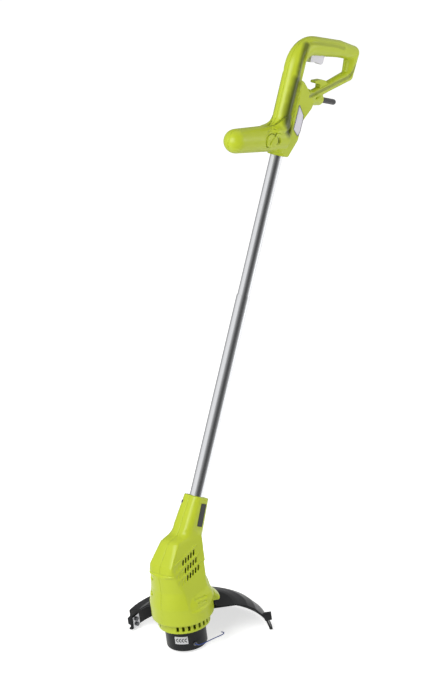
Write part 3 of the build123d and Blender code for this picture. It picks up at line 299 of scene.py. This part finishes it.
# %% Finishes for the CAD nodes
FINISHES = {
    green_abs: ("handle_shell_left", "handle_shell_right", "motor_housing_left", "motor_housing_right",
                "vent_ring", "cord_hook", "grip_caps"),
    black_nylon: ("terminal_block", "cord_clamp", "switch_body", "brush_holder", "guard", "spool_cup",
                  "spool_cover", "cooling_fan", "tap_button", "spool"),
    black_rubber: ("cord_boot", "lead_grommet", "motor_lead"),
    grey_abs: ("trigger", "side_panels", "switch_plunger"),
    dark_plate: ("badge_plates",),
    label_vinyl: ("arrow_plate",),
    plated_tube: ("upper_tube", "lower_tube"),
    bright_steel: ("line_cutter", "trigger_spring", "spool_spring", "motor_shaft", "upper_bearing",
                   "lower_bearing", "hub_nut", "trigger_pin"),
    dark_steel: ("handle_screws", "housing_screws", "guard_screws", "cutter_screws", "motor_can",
                 "armature_core", "line_eyelet"),
    cast_alloy: ("bearing_plate", "spool_hub"),
    copper: ("armature_winding", "commutator"),
    carbon: ("motor_magnets", "brushes"),
    blue_nylon: ("line_winding", "cutting_line"),
}


def finish_with(piece, material):
    piece.data.materials.clear()
    piece.data.materials.append(material)


for material, names in FINISHES.items():
    for name in names:
        finish_with(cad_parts[name], material)
print("finished nodes:", sum(len(names) for names in FINISHES.values()))

# %% [markdown]
# ## The cutting line
# A short end of nylon line leaves the eyelet in the spool cup and swings out to one side. It kept the
# curl of the spool it was wound on, so its tip hooks back. The line is one NURBS curve whose control
# points are the route of the CAD solid, and its round bevel gives it its thickness.

# %% The cutting line
LINE_RADIUS = 0.8
LINE_ROUTE = (
    (-13.5, -27.9, 13.6),
    (-15.9, -33.0, 13.6),
    (-13.2, -38.3, 13.3),
    (-5.2, -40.4, 13.0),
    (4.0, -42.2, 12.8),
    (14.5, -45.0, 13.0),
    (24.0, -48.6, 13.3),
    (31.0, -50.3, 13.4),
    (35.2, -47.2, 13.5),
    (33.6, -43.2, 13.5),
)

line_data = bpy.data.curves.new("cutting_line_curve", "CURVE")
line_data.dimensions = "3D"
line_data.bevel_depth = LINE_RADIUS * MM
line_data.bevel_resolution = 6
line_data.resolution_u = 16
line_data.use_fill_caps = True
spline = line_data.splines.new("NURBS")
spline.points.add(len(LINE_ROUTE) - 1)
for point, place in zip(spline.points, LINE_ROUTE):
    point.co = (*(Vector(place) * MM), 1.0)
spline.order_u = 3
spline.use_endpoint_u = True
cutting_line = bpy.data.objects.new("cutting_line_curl", line_data)
bpy.context.scene.collection.objects.link(cutting_line)
finish_with(cutting_line, blue_nylon)
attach(cutting_line, "rotor")
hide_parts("cutting_line")

# %% [markdown]
# ## Softening a moulded shell
# The CAD shells have knife-sharp edges where their simple bodies meet, but plastic flows into a mould
# with rounded corners. A voxel remesh rebuilds a copy of the solid as an even skin of small quads, and
# a few smoothing steps then melt every edge and hollow by about a millimetre. The copy is turned
# upright for this, so that the voxel grid runs along the shell and leaves no steps on it. The remesh
# also blurs the flat face where two halves meet, so points close to the middle plane go back to the
# nearest spot on the sharp solid, which keeps the two halves shut.

# %% Softened copies of CAD shells
DOUBLES = 0.01
SEAM_BAND = 1.6
SEAM_REACH = 0.9
LEANING = Matrix.Translation(SHAFT_FOOT * MM) @ Matrix.Rotation(SHAFT_LEAN, 4, "Y")
UPRIGHT = Matrix.Identity(4)


def merged_copy(node):
    bm = bmesh.new()
    bm.from_mesh(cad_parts[node].data)
    bmesh.ops.remove_doubles(bm, verts=bm.verts, dist=DOUBLES * MM)
    bmesh.ops.recalc_face_normals(bm, faces=bm.faces)
    return bm


def shade_smooth(mesh):
    mesh.polygons.foreach_set("use_smooth", [True] * len(mesh.polygons))
    mesh.update()


def new_piece(name, bm, material, body):
    mesh = bpy.data.meshes.new(name)
    bm.to_mesh(mesh)
    bm.free()
    shade_smooth(mesh)
    piece = bpy.data.objects.new(name, mesh)
    bpy.context.scene.collection.objects.link(piece)
    finish_with(piece, material)
    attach(piece, body)
    return piece


def apply_modifiers(piece):
    depsgraph = bpy.context.evaluated_depsgraph_get()
    done = bpy.data.meshes.new_from_object(piece.evaluated_get(depsgraph))
    piece.modifiers.clear()
    piece.data = done


def keep_seam(piece, sharp):
    for vert in piece.data.vertices:
        if abs(vert.co.y) < SEAM_BAND * MM:
            spot, _, _, gap = sharp.find_nearest(vert.co)
            if gap < SEAM_REACH * MM:
                vert.co = spot


def soften(piece, voxel, steps, turn):
    bm = bmesh.new()
    bm.from_mesh(piece.data)
    sharp = BVHTree.FromBMesh(bm)
    bm.free()
    piece.data.transform(turn.inverted())
    remesh = piece.modifiers.new("even skin", "REMESH")
    remesh.mode = "VOXEL"
    remesh.voxel_size = voxel * MM
    smoothing = piece.modifiers.new("smoothing", "SMOOTH")
    smoothing.factor = 0.5
    smoothing.iterations = steps
    apply_modifiers(piece)
    piece.data.transform(turn)
    keep_seam(piece, sharp)
    shade_smooth(piece.data)
    print(piece.name, "faces:", len(piece.data.polygons))


# %% [markdown]
# ## Lines pressed into a shell
# Shut lines, creases and raised ribs follow curved surfaces, so they are pressed into the finished
# skin like a sculptor would: the faces near a path are divided, then their points sink along their
# normals, most of all in the middle of the path. A negative depth raises a rib instead. Only points
# that face the given way move, which spares the inside of the wall.

# %% Pressing lines into a shell
DIVIDE_REACH = 1.6
FACING_LEAST = 0.1


def distance_to_path(points, path):
    nearest = np.full(len(points), np.inf)
    for start, end in zip(path, path[1:]):
        along = end - start
        share = np.clip((points - start) @ along / max(along @ along, 1e-12), 0.0, 1.0)
        gap = np.linalg.norm(points - (start + share[:, None] * along), axis=1)
        nearest = np.minimum(nearest, gap)
    return nearest


def smooth_path(points, per_span=6):
    corners = [Vector(p) for p in points]
    ends = [corners[0] * 2 - corners[1], *corners, corners[-1] * 2 - corners[-2]]
    path = []
    for a, b, c, d in zip(ends, ends[1:], ends[2:], ends[3:]):
        for i in range(per_span):
            t = i / per_span
            path.append(0.5 * (2 * b + (c - a) * t + (2 * a - 5 * b + 4 * c - d) * t ** 2
                               + (3 * b - a - 3 * c + d) * t ** 3))
    return np.array([*path, corners[-1]])


def on_skin(piece, path):
    return np.array([piece.closest_point_on_mesh(Vector(spot))[1] for spot in path])


def press(piece, path, half_width, depth, facing, divide=1):
    reach = half_width * MM
    path = on_skin(piece, path)
    for _ in range(divide):
        bm = bmesh.new()
        bm.from_mesh(piece.data)
        spots = np.array([v.co for v in bm.verts])
        close = distance_to_path(spots, path) < reach * DIVIDE_REACH
        edges = [e for e in bm.edges if close[e.verts[0].index] and close[e.verts[1].index]]
        bmesh.ops.subdivide_edges(bm, edges=edges, cuts=1, use_grid_fill=True)
        bm.to_mesh(piece.data)
        bm.free()
    count = len(piece.data.vertices)
    spots = np.empty(count * 3, np.float32)
    normals = np.empty(count * 3, np.float32)
    piece.data.vertices.foreach_get("co", spots)
    piece.data.vertices.foreach_get("normal", normals)
    spots = spots.reshape(-1, 3)
    normals = normals.reshape(-1, 3)
    fall = np.clip(1.0 - (distance_to_path(spots, path) / reach) ** 2, 0.0, 1.0) ** 1.5
    fall[normals @ np.array(Vector(facing).normalized()) < FACING_LEAST] = 0.0
    spots -= normals * (fall * depth * MM)[:, None]
    piece.data.vertices.foreach_set("co", spots.ravel())
    shade_smooth(piece.data)


# %% [markdown]
# Some places need a far larger blend than the rest, such as a throat where two bodies run together. For
# these, only the points near a path are smoothed, many times over. Points in the middle plane stay in it.

# %% Melting a blend along a path
MIDDLE_CLIP = 0.5


def melt(piece, path, radius, steps):
    bm = bmesh.new()
    bm.from_mesh(piece.data)
    spots = np.array([v.co for v in bm.verts])
    close = distance_to_path(spots, path) < radius * MM
    verts = [v for v in bm.verts if close[v.index]]
    for _ in range(steps):
        bmesh.ops.smooth_vert(bm, verts=verts, factor=0.5, mirror_clip_y=True, clip_dist=MIDDLE_CLIP * MM,
                              use_axis_x=True, use_axis_y=True, use_axis_z=True)
    bm.to_mesh(piece.data)
    bm.free()
    shade_smooth(piece.data)


# %% [markdown]
# ## The handle's two halves
# The handle is moulded as a left and a right half that meet in the middle plane. Each half is softened
# by itself and stays a piece of its own, as on the real tool. At the foot of the upright grip a skirt
# flares out over the front grip. It is a stack of rings around the grip, each wider and further forward
# than the one above, bridged into a thick skin and cut in the middle plane. The remesh melts it into
# the half it belongs to.

# %% The handle's two halves
HANDLE_VOXEL = 1.1
HANDLE_STEPS = 5
# Each ring: how far up the handle, how far towards the operator, and its radius
SKIRT_RINGS = (
    (68.0, -8.0, 15.2),
    (60.0, -8.3, 15.7),
    (54.0, -9.4, 16.5),
    (49.5, -12.0, 17.8),
    (46.0, -16.5, 19.6),
    (43.0, -23.0, 20.8),
    (38.0, -29.0, 21.0),
)
SKIRT_WALL = 2.4
SKIRT_SEGMENTS = 72
SPLIT_GAP = 0.02


def skirt(side):
    bm = bmesh.new()
    around = Matrix((UP_SHAFT, TO_OPERATOR, Vector((0.0, 1.0, 0.0)))).transposed().to_4x4()
    lay = around @ Matrix.Rotation(radians(90.0), 4, "Y")
    rings = []
    for stack, shrink in ((SKIRT_RINGS, 0.0), (SKIRT_RINGS[::-1], SKIRT_WALL)):
        for u, v, radius in stack:
            made = bmesh.ops.create_circle(bm, segments=SKIRT_SEGMENTS, radius=(radius - shrink) * MM,
                                           matrix=Matrix.Translation(handle_point(u, v, 0.0)) @ lay)
            rings.append(list({edge for vert in made["verts"] for edge in vert.link_edges}))
    for ring, following in zip(rings, rings[1:] + rings[:1]):
        bmesh.ops.bridge_loops(bm, edges=ring + following)
    whole = bm.verts[:] + bm.edges[:] + bm.faces[:]
    bmesh.ops.bisect_plane(bm, geom=whole, plane_co=(0.0, side * SPLIT_GAP * MM, 0.0),
                           plane_no=(0.0, -side, 0.0), clear_outer=True)
    bmesh.ops.holes_fill(bm, edges=[e for e in bm.edges if e.is_boundary])
    bmesh.ops.recalc_face_normals(bm, faces=bm.faces)
    return bm


def handle_half(node, name, side):
    bm = merged_copy(node)
    flare = skirt(side)
    spare = bpy.data.meshes.new("skirt")
    flare.to_mesh(spare)
    flare.free()
    bm.from_mesh(spare)
    bpy.data.meshes.remove(spare)
    piece = new_piece(name, bm, grip_abs, "frame")
    soften(piece, HANDLE_VOXEL, HANDLE_STEPS, LEANING)
    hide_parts(node)
    return piece


handle_left = handle_half("handle_shell_left", "handle_left_half", -1)
handle_right = handle_half("handle_shell_right", "handle_right_half", 1)

# %% [markdown]
# Painted shade darkens the long valley beside the grip, where the grip's flank turns from the light, and
# the grooves along the lower bar and the top bar, the skirt's crease, the S line and the screw well. It is
# painted as a mask on the skin's points, strongest along a path and fading to its edges, and the handle's
# material mixes the darker colour by that mask.

# %% Painting the shade into the handle
PAINTED_SHADE_FADE = 0.7


def keep_mask(piece, mask):
    attribute = piece.data.attributes.new("painted_shade", "FLOAT", "POINT")
    attribute.data.foreach_set("value", mask)


# Painted shade: darkens the skin along each path, strongest in its middle
def paint_shade(piece, strips):
    spots = np.array([v.co for v in piece.data.vertices])
    mask = np.zeros(len(spots))
    for path, half_width, strength in strips:
        gap = distance_to_path(spots, on_skin(piece, path)) / (half_width * MM)
        mask = np.maximum(mask, strength * np.clip((1.0 - gap) / PAINTED_SHADE_FADE, 0.0, 1.0))
    keep_mask(piece, mask)


# %% [markdown]
# The front grip's root carries a few shut lines: the skirt's edge, an oval cover with an S-shaped
# front edge, and the mouth of a deep screw well. Shallow grooves follow the lower bar and the top bar,
# and painted shade fills the valley beside the upright grip and darkens the lines. All are given as
# handle points on the right side and mirrored for the left. The covers are a piece of their own, with the
# same S pressed into it.

# %% Lines and painted shade of the handle
SKIRT_LINE = ((43.5, -46.0, 0.0), (46.0, -34.0, 3.0), (49.5, -27.0, 5.0), (55.5, -22.1, 7.5),
              (60.7, -19.2, 11.0), (64.1, -17.0, 12.8))
COVER_LINE = ((43.0, -40.0, 9.5), (37.0, -52.0, 14.5), (29.0, -60.0, 18.8), (22.5, -61.0, 20.2),
              (17.0, -54.5, 20.6))
S_LINE = ((42.0, -37.8, 12.2), (39.5, -34.8, 15.0), (36.0, -36.4, 17.4), (31.0, -41.6, 20.0),
          (26.8, -46.0, 20.9), (22.5, -48.4, 21.0), (18.0, -48.6, 20.6))
SCREW_WELL = ((26.4, -30.5, 20.6), (25.4, -30.0, 20.6))
SKIRT_FOOT = ((43.0, -46.0, 0.0), (47.0, -33.0, 9.0), (50.0, -24.0, 14.5), (56.0, -14.0, 15.5))
SKIRT_FOOT_RADIUS = 7.0
SKIRT_FOOT_STEPS = 14
VALLEY_TOP = ((182.0, -3.5, 12.0), (160.0, -9.5, 13.5), (140.0, -11.0, 13.5), (116.0, -9.0, 13.5))
VALLEY_FOOT = ((124.0, -10.0, 13.5), (97.0, -11.0, 13.0), (76.0, -11.5, 13.0), (57.0, -10.5, 13.0),
               (42.0, -5.5, 15.0))
BAR_LINE = ((103.2, 29.6, 15.5), (112.5, 61.0, 7.6), (122.6, 82.7, 7.9), (134.6, 105.8, 8.5),
            (142.7, 122.8, 9.0), (151.6, 130.2, 9.7), (163.0, 133.6, 9.7))
TOP_LINE = ((184.0, 5.0, 11.7), (186.6, 24.6, 13.8), (187.3, 45.5, 13.5), (187.6, 66.6, 13.1),
            (186.0, 90.4, 13.3))
# Each line with its half width and depth: first those at the grip's root, then the two along the loop
ROOT_LINES = ((SKIRT_LINE, 2.3, 2.4), (COVER_LINE, 1.4, 0.8), (S_LINE, 1.8, 1.4), (SCREW_WELL, 6.5, 4.2))
LOOP_LINES = ((BAR_LINE, 3.4, 1.3), (TOP_LINE, 3.6, 0.8))
COVER_EDGE = (1.9, 1.5)
# Each line with its half width and how strongly its painted shade is laid on
PAINTED_SHADE_STRIPS = ((VALLEY_TOP, 8.0, 0.85), (VALLEY_FOOT, 13.0, 1.0), (BAR_LINE, 4.0, 0.55),
                (TOP_LINE, 4.5, 0.3), (SKIRT_LINE, 2.2, 0.6), (S_LINE, 1.6, 0.6), (SCREW_WELL, 6.5, 0.6))
FINE_VOXEL = 0.6
COVER_STEPS = 3

covers = new_piece("front_grip_covers", merged_copy("grip_caps"), green_abs, "frame")
soften(covers, FINE_VOXEL, COVER_STEPS, LEANING)
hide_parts("grip_caps")


def on_side(line, side):
    return smooth_path([handle_point(u, v, side * w) for u, v, w in line])


for piece, side in ((handle_left, -1), (handle_right, 1)):
    sideways = Vector((0.0, side, 0.0))
    outward = sideways + UP_SHAFT * 0.7
    melt(piece, on_side(SKIRT_FOOT, side), SKIRT_FOOT_RADIUS, SKIRT_FOOT_STEPS)
    for line, half_width, depth in ROOT_LINES:
        press(piece, on_side(line, side), half_width, depth, outward)
    for line, half_width, depth in LOOP_LINES:
        press(piece, on_side(line, side), half_width, depth, sideways)
    # Painted shade along the valley, the two bar grooves, the skirt's crease, the S line and the screw well
    paint_shade(piece, [(on_side(line, side), width, strength) for line, width, strength in PAINTED_SHADE_STRIPS])
    press(covers, on_side(S_LINE, side), *COVER_EDGE, outward)
print("handle faces:", len(handle_left.data.polygons), len(handle_right.data.polygons))

# %% [markdown]
# ## The motor housing's two halves
# The housing is moulded and split in the same way. Its vents are narrow, so its voxels are smaller.
# A crease runs around the front where the cap meets the barrel. On each leaning side facet, thin ribs
# divide the rows of vents, and a low pod swells out towards the hood over the guard, with two short
# finger-nail grooves in it. Behind the vents the wall gets painted shade, darker the deeper it lies under
# the facet, so that the slots look into an unlit inside.

# %% The motor housing's two halves
HOUSING_VOXEL = 0.92
HOUSING_STEPS = 3
FACET_Y = 40.9
FACET_Z = 90.0
FACET_LEAN = radians(13.4)
FACET_TOE = radians(5.0)
VENT_ROWS = (138.5, 151.0, 164.0)
VENT_RISE = radians(12.0)
VENT_MIDDLE = (2.0, 151.0)
VENT_REACH = (17.0, 24.0)
RIB_ENDS = (-27.0, -4.0, 24.0)
LIT_DEPTH = 1.2
SHADE_FADE = 1.0
INSIDE_DEPTH = 20.0
RIDGE_LINE = ((20.0, 21.5, 180.0), (0.0, 21.5, 170.0), (-20.0, 22.5, 158.0), (-36.0, 25.0, 146.0))
THROAT_LINE = ((0.0, 0.0, 188.0), (2.0, 10.0, 188.0), (10.0, 18.5, 187.0), (24.0, 20.0, 184.0))
FLANK_LINE = ((-36.0, 25.0, 146.0), (-31.5, 29.5, 122.0), (-20.0, 38.2, 92.0), (-14.0, 43.0, 78.0),
              (20.0, 45.0, 77.0))
# Each line with the reach of its blend and how often it is smoothed
BLENDS = ((RIDGE_LINE, 5.0, 16), (THROAT_LINE, 13.0, 110), (FLANK_LINE, 6.0, 24))
CREASE_Z = 143.5
CREASE_LINE = ((-35.0, 25.5), (-40.4, 14.0), (-41.8, 0.0), (-40.4, -14.0), (-37.0, -23.5))
POD_LINE = ((-10.0, 84.0), (8.0, 87.0), (26.0, 88.0))
POD_GROOVES = (
    ((-10.8, 93.6), (-2.2, 92.0), (8.3, 90.6)),
    ((-8.7, 85.7), (-1.7, 84.8), (6.2, 83.6)),
)
POD_LIFT = 3.0
# Half width and depth of each pressed form; a negative depth stands out
POD = (15.0, -3.6)
CREASE = (1.8, 1.0)
RIB = (1.3, -0.9)
GROOVE = (2.6, 1.6)


def facet_point(x, z, side):
    y = FACET_Y + x * sin(FACET_TOE) - (z - FACET_Z) * tan(FACET_LEAN)
    return Vector((x, side * y, z)) * MM


# Painted shade: the wall behind the vents darkens the deeper it lies under the facet
def paint_vent_shade(piece, side):
    x, y, z = np.array([v.co for v in piece.data.vertices]).T / MM
    depth = FACET_Y + x * sin(FACET_TOE) - (z - FACET_Z) * tan(FACET_LEAN) - side * y
    near = (abs(x - VENT_MIDDLE[0]) < VENT_REACH[0]) & (abs(z - VENT_MIDDLE[1]) < VENT_REACH[1])
    dark = np.clip((depth - LIT_DEPTH) / SHADE_FADE, 0.0, 1.0)
    keep_mask(piece, np.where(near & (depth < INSIDE_DEPTH), dark, 0.0))


def housing_half(node, name, side):
    piece = new_piece(name, merged_copy(node), vented_abs, "frame")
    soften(piece, HOUSING_VOXEL, HOUSING_STEPS, UPRIGHT)
    outward = Vector((0.0, side, 0.2))
    for line, radius, steps in BLENDS:
        melt(piece, smooth_path([Vector((x, side * y, z)) * MM for x, y, z in line]), radius, steps)
    press(piece, smooth_path([facet_point(x, z, side) for x, z in POD_LINE]), *POD, outward, divide=0)
    crease = smooth_path([Vector((x, y, CREASE_Z)) * MM for x, y in CREASE_LINE])
    press(piece, crease, *CREASE, (-1.0, 0.0, 0.3))
    for row in VENT_ROWS:
        rib = smooth_path([facet_point(x, row + x * sin(VENT_RISE), side) for x in RIB_ENDS])
        press(piece, rib, *RIB, outward)
    for line in POD_GROOVES:
        groove = smooth_path([facet_point(x, z, side) + outward * POD_LIFT * MM for x, z in line])
        press(piece, groove, *GROOVE, outward)
    paint_vent_shade(piece, side)
    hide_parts(node)
    return piece


housing_left = housing_half("motor_housing_left", "housing_left_half", -1)
housing_right = housing_half("motor_housing_right", "housing_right_half", 1)
print("housing faces:", len(housing_left.data.polygons), len(housing_right.data.polygons))

# %% [markdown]
# ## The slotted ring under the housing
# A plain ring with a row of air slots closes the housing's underside. It only needs soft edges.

# %% The slotted ring
RING_STEPS = 2

vent_ring = new_piece("slotted_ring", merged_copy("vent_ring"), green_abs, "frame")
soften(vent_ring, FINE_VOXEL, RING_STEPS, UPRIGHT)
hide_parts("vent_ring")

# %% [markdown]
# ## The guard
# The guard is one thick moulding. A skin of small quads keeps its rim crisp but takes the paper-sharp
# edge off.

# %% The guard
GUARD_VOXEL = 0.9
GUARD_STEPS = 3

guard = new_piece("guard_moulding", merged_copy("guard"), black_nylon, "frame")
soften(guard, GUARD_VOXEL, GUARD_STEPS, UPRIGHT)
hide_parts("guard")

# %% [markdown]
# ## The arrow label on the spool cup
# A small label on the cup shows which way the head turns: four plain chevrons. Each is two short bars
# that meet at a point. They are thin cubes, laid flat on the cup's round wall and bevelled, printed in
# dark ink on the pale vinyl.

# %% The arrow label
LABEL_RADIUS = 32.55
LABEL_ANGLE = 207.0
LABEL_Z = 22.5
CHEVRONS = 4
CHEVRON_STEP = 4.6
CHEVRON_BAR = (4.6, 1.5, 0.25)
CHEVRON_SLOPE = radians(52.0)
CHEVRON_ARM = 1.75
INK_BEVEL = 0.06

bm = bmesh.new()
for i in range(CHEVRONS):
    shift = (i - (CHEVRONS - 1) / 2) * CHEVRON_STEP
    turn = Matrix.Rotation(radians(LABEL_ANGLE) + shift / LABEL_RADIUS, 4, "Z")
    stand = Matrix.Translation(Vector((LABEL_RADIUS, 0.0, LABEL_Z)) * MM)
    flat = Matrix.Rotation(radians(90.0), 4, "Y")
    for way in (-1, 1):
        lean = Matrix.Rotation(-way * CHEVRON_SLOPE, 4, "Z")
        slide = Matrix.Translation((-way * CHEVRON_ARM * MM, 0.0, 0.0))
        scale = Matrix.Diagonal((*(Vector(CHEVRON_BAR) * MM), 1.0))
        bmesh.ops.create_cube(bm, size=1.0, matrix=turn @ stand @ flat @ slide @ lean @ scale)
bmesh.ops.bevel(bm, geom=bm.edges[:], offset=INK_BEVEL * MM, affect="EDGES", segments=2, profile=0.5,
                material=-1)
chevrons = new_piece("arrow_print", bm, label_ink, "rotor")
print("chevron faces:", len(chevrons.data.polygons))

# %% [markdown]
# ## Painted shade around the side panels
# A thin dark line of painted shade stands around each pale side panel, where the panel's pocket leaves
# a shaded gap. It is the panel's outline, drawn as a ring of edges and raised by extruding them, so it is a
# wall without thickness and shows as a hair line.

# %% Painted shade around the side panels
PANEL_OUTLINE = ((38.5, 20.5), (46.0, 23.8), (66.0, 24.2), (72.0, 22.5), (87.0, 7.0), (48.0, 6.2))
PANEL_FACE = 15.7
SHADE_LINE_HEIGHT = 0.9

bm = bmesh.new()
for side in (-1, 1):
    corners = [bm.verts.new(handle_point(u, v, side * PANEL_FACE)) for u, v in PANEL_OUTLINE]
    outline = [bm.edges.new(pair) for pair in zip(corners, corners[1:] + corners[:1])]
    raised = bmesh.ops.extrude_edge_only(bm, edges=outline)["geom"]
    tops = [part for part in raised if isinstance(part, bmesh.types.BMVert)]
    bmesh.ops.translate(bm, verts=tops, vec=(0.0, side * SHADE_LINE_HEIGHT * MM, 0.0))
bmesh.ops.recalc_face_normals(bm, faces=bm.faces)
# Painted shade: a dark hair line for the shaded gap around each panel
panel_gap_shade = new_piece("side_panel_gap_shade", bm, black_rubber, "frame")
print("rim faces:", len(panel_gap_shade.data.polygons))

# %% [markdown]
# ## The trigger and the hook
# Both are small mouldings with sharp CAD edges, so they get the same soft skin.

# %% The trigger and the hook
SMALL_STEPS = 4

trigger = new_piece("trigger_moulding", merged_copy("trigger"), grey_abs, "trigger")
soften(trigger, FINE_VOXEL, SMALL_STEPS, LEANING)
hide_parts("trigger")
hook = new_piece("cord_hook_moulding", merged_copy("cord_hook"), green_abs, "frame")
soften(hook, FINE_VOXEL, SMALL_STEPS, LEANING)
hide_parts("cord_hook")

# %% [markdown]
# ## Floor and background
# The picture is a cut-out on white. A pale floor just under the tap button keeps the soft shadow. Floor
# and world are white for the camera, for reflections and through clear things, but dimmer as a light,
# so that the object isn't washed out.

# %% Floor and background
FLOOR_HALF = 6.0
FLOOR_DROP = 0.0015
WORLD_AS_LIGHT = 0.31
PAPER_FIBRE = 2
PAPER_GLOW = 0.68
WHITE = (1.0, 1.0, 1.0, 1.0)


def seen_directly(tree):
    rays = add_node(tree, "ShaderNodeLightPath")
    seen = add_node(tree, "ShaderNodeMath", {"operation": "MAXIMUM"}, links={
        0: rays.outputs["Is Camera Ray"], 1: rays.outputs["Is Glossy Ray"]})
    return add_node(tree, "ShaderNodeMath", {"operation": "MAXIMUM"}, links={
        0: seen.outputs[0], 1: rays.outputs["Is Transmission Ray"]}).outputs[0]


def stage_object(name, bm):
    mesh = bpy.data.meshes.new(name)
    bm.to_mesh(mesh)
    bm.free()
    made = bpy.data.objects.new(name, mesh)
    bpy.context.scene.collection.objects.link(made)
    return made


bm = bmesh.new()
bmesh.ops.create_grid(bm, x_segments=1, y_segments=1, size=FLOOR_HALF,
                      matrix=Matrix.Translation((0.0, 0.0, cad_box[0][2] - FLOOR_DROP)))
floor = stage_object("floor", bm)

# Uncoated paper: an even, dull white
paper, tree, output, place = new_material("white paper")
fibre = add_node(tree, "ShaderNodeTexNoise", values={"Scale": 1 / (PAPER_FIBRE * MM)},
                 links={"Vector": place})
shade = add_node(tree, "ShaderNodeMapRange", values={"To Min": 0.8, "To Max": 0.84},
                 links={"Value": fibre.outputs["Fac"]})
matte = add_node(tree, "ShaderNodeBsdfDiffuse", links={"Color": shade.outputs[0]})
glow = add_node(tree, "ShaderNodeEmission", values={"Color": WHITE, "Strength": PAPER_GLOW})
dark = add_node(tree, "ShaderNodeEmission", values={"Strength": 0.0})
lift = add_node(tree, "ShaderNodeMixShader", links={
    0: seen_directly(tree), 1: dark.outputs[0], 2: glow.outputs[0]})
both = add_node(tree, "ShaderNodeAddShader", links={0: matte.outputs[0], 1: lift.outputs[0]})
tree.links.new(both.outputs[0], output.inputs["Surface"])
finish_with(floor, paper)

world = bpy.data.worlds.new("studio")
bpy.context.scene.world = world
world.use_nodes = True
tree = world.node_tree
tree.nodes.clear()
level = add_node(tree, "ShaderNodeMapRange", values={"To Min": WORLD_AS_LIGHT, "To Max": 1.0},
                 links={"Value": seen_directly(tree)})
sky = add_node(tree, "ShaderNodeBackground", values={"Color": WHITE},
               links={"Strength": level.outputs[0]})
add_node(tree, "ShaderNodeOutputWorld", links={"Surface": sky.outputs[0]})
bpy.context.scene.view_settings.view_transform = "Standard"
print("floor at", round(cad_box[0][2] - FLOOR_DROP, 4), "m, world as light", WORLD_AS_LIGHT)

# %% [markdown]
# ## Lamps
# A wide key lamp at the front left gives the bright left sides. A weak lamp fills the right, and a small
# one lifts the handle. The key's highlight would wash out the streak on the plated tubes, so light
# linking leaves them out of its reach.

# %% Lamps


def soft_lamp(name, place, aim, size, power):
    data = bpy.data.lights.new(name, "AREA")
    data.shape = "RECTANGLE"
    data.size, data.size_y = size
    data.energy = power
    lamp = bpy.data.objects.new(name, data)
    bpy.context.scene.collection.objects.link(lamp)
    lamp.matrix_world = Matrix.Translation(place) @ (
        (Vector(aim) - Vector(place)).to_track_quat("-Z", "Y").to_matrix().to_4x4())
    return lamp


key = soft_lamp("key", place=(-2.1, -0.1, 2.4), aim=(0.15, 0.0, 0.45), size=(1.8, 1.8), power=66.0)
soft_lamp("fill", place=(0.6, -3.0, 1.6), aim=(0.2, 0.0, 0.45), size=(1.6, 1.8), power=1.5)
soft_lamp("handle fill", place=(1.2, -1.2, 0.85), aim=(0.36, 0.0, 0.78), size=(0.9, 0.9), power=7.0)
spared = bpy.data.collections.new("tubes")
for name in ("upper_tube", "lower_tube"):
    spared.objects.link(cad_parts[name])
for member in spared.collection_objects:
    member.light_linking.link_state = "EXCLUDE"
key.light_linking.receiver_collection = spared
print("lamps:", len(bpy.data.lights))

# %% [markdown]
# ## Dark cards for the plated tube
# A polished tube shows its surroundings, and an all-white room would make it vanish. Photographers
# hold dark cards beside such things. Two cards that only reflections can see stand along the tube, one
# for the front and one for the back. Each is darkest in its middle and fades to its sides.

# %% Dark cards
CARD_SIZE = (1.75, 2.4)
CARD_GAP = 0.5
CARD_MIDDLE = 400.0


def dark_card(name, turn, middle_glow, edge_glow):
    way = Matrix.Rotation(radians(turn), 3, UP_SHAFT) @ away
    face = Matrix((UP_SHAFT.cross(way), UP_SHAFT, way)).transposed().to_4x4()
    place = Matrix.Translation(shaft_point(CARD_MIDDLE, 0.0, 0.0) + way * CARD_GAP) @ face
    bm = bmesh.new()
    bm.loops.layers.uv.new("across")
    bmesh.ops.create_grid(bm, x_segments=1, y_segments=1, size=0.5, calc_uvs=True,
                          matrix=place @ Matrix.Diagonal((*CARD_SIZE, 1.0, 1.0)))
    card = stage_object(name, bm)
    card.visible_camera = False
    card.visible_diffuse = False
    card.visible_shadow = False
    # Dull felt, drawn as a graded glow so that lamps leave no marks on it
    felt, tree, output, _ = new_material(name + " felt")
    spread = add_node(tree, "ShaderNodeTexCoord").outputs["UV"]
    across = add_node(tree, "ShaderNodeSeparateXYZ", links={0: spread})
    middle = add_node(tree, "ShaderNodeMath", {"operation": "SUBTRACT"}, {1: 0.5}, {0: across.outputs[0]})
    edge = add_node(tree, "ShaderNodeMath", {"operation": "ABSOLUTE"}, links={0: middle.outputs[0]})
    shade = add_node(tree, "ShaderNodeMapRange", {"interpolation_type": "SMOOTHSTEP"}, {
        "From Max": 0.5, "To Min": middle_glow, "To Max": edge_glow}, {"Value": edge.outputs[0]})
    cloth = add_node(tree, "ShaderNodeEmission", links={"Strength": shade.outputs[0]})
    tree.links.new(cloth.outputs[0], output.inputs["Surface"])
    finish_with(card, felt)


dark_card("front_card", 24.0, 0.085, 0.62)
dark_card("rear_card", 204.0, 0.36, 0.9)
print("cards stand", CARD_GAP, "m from the tube")
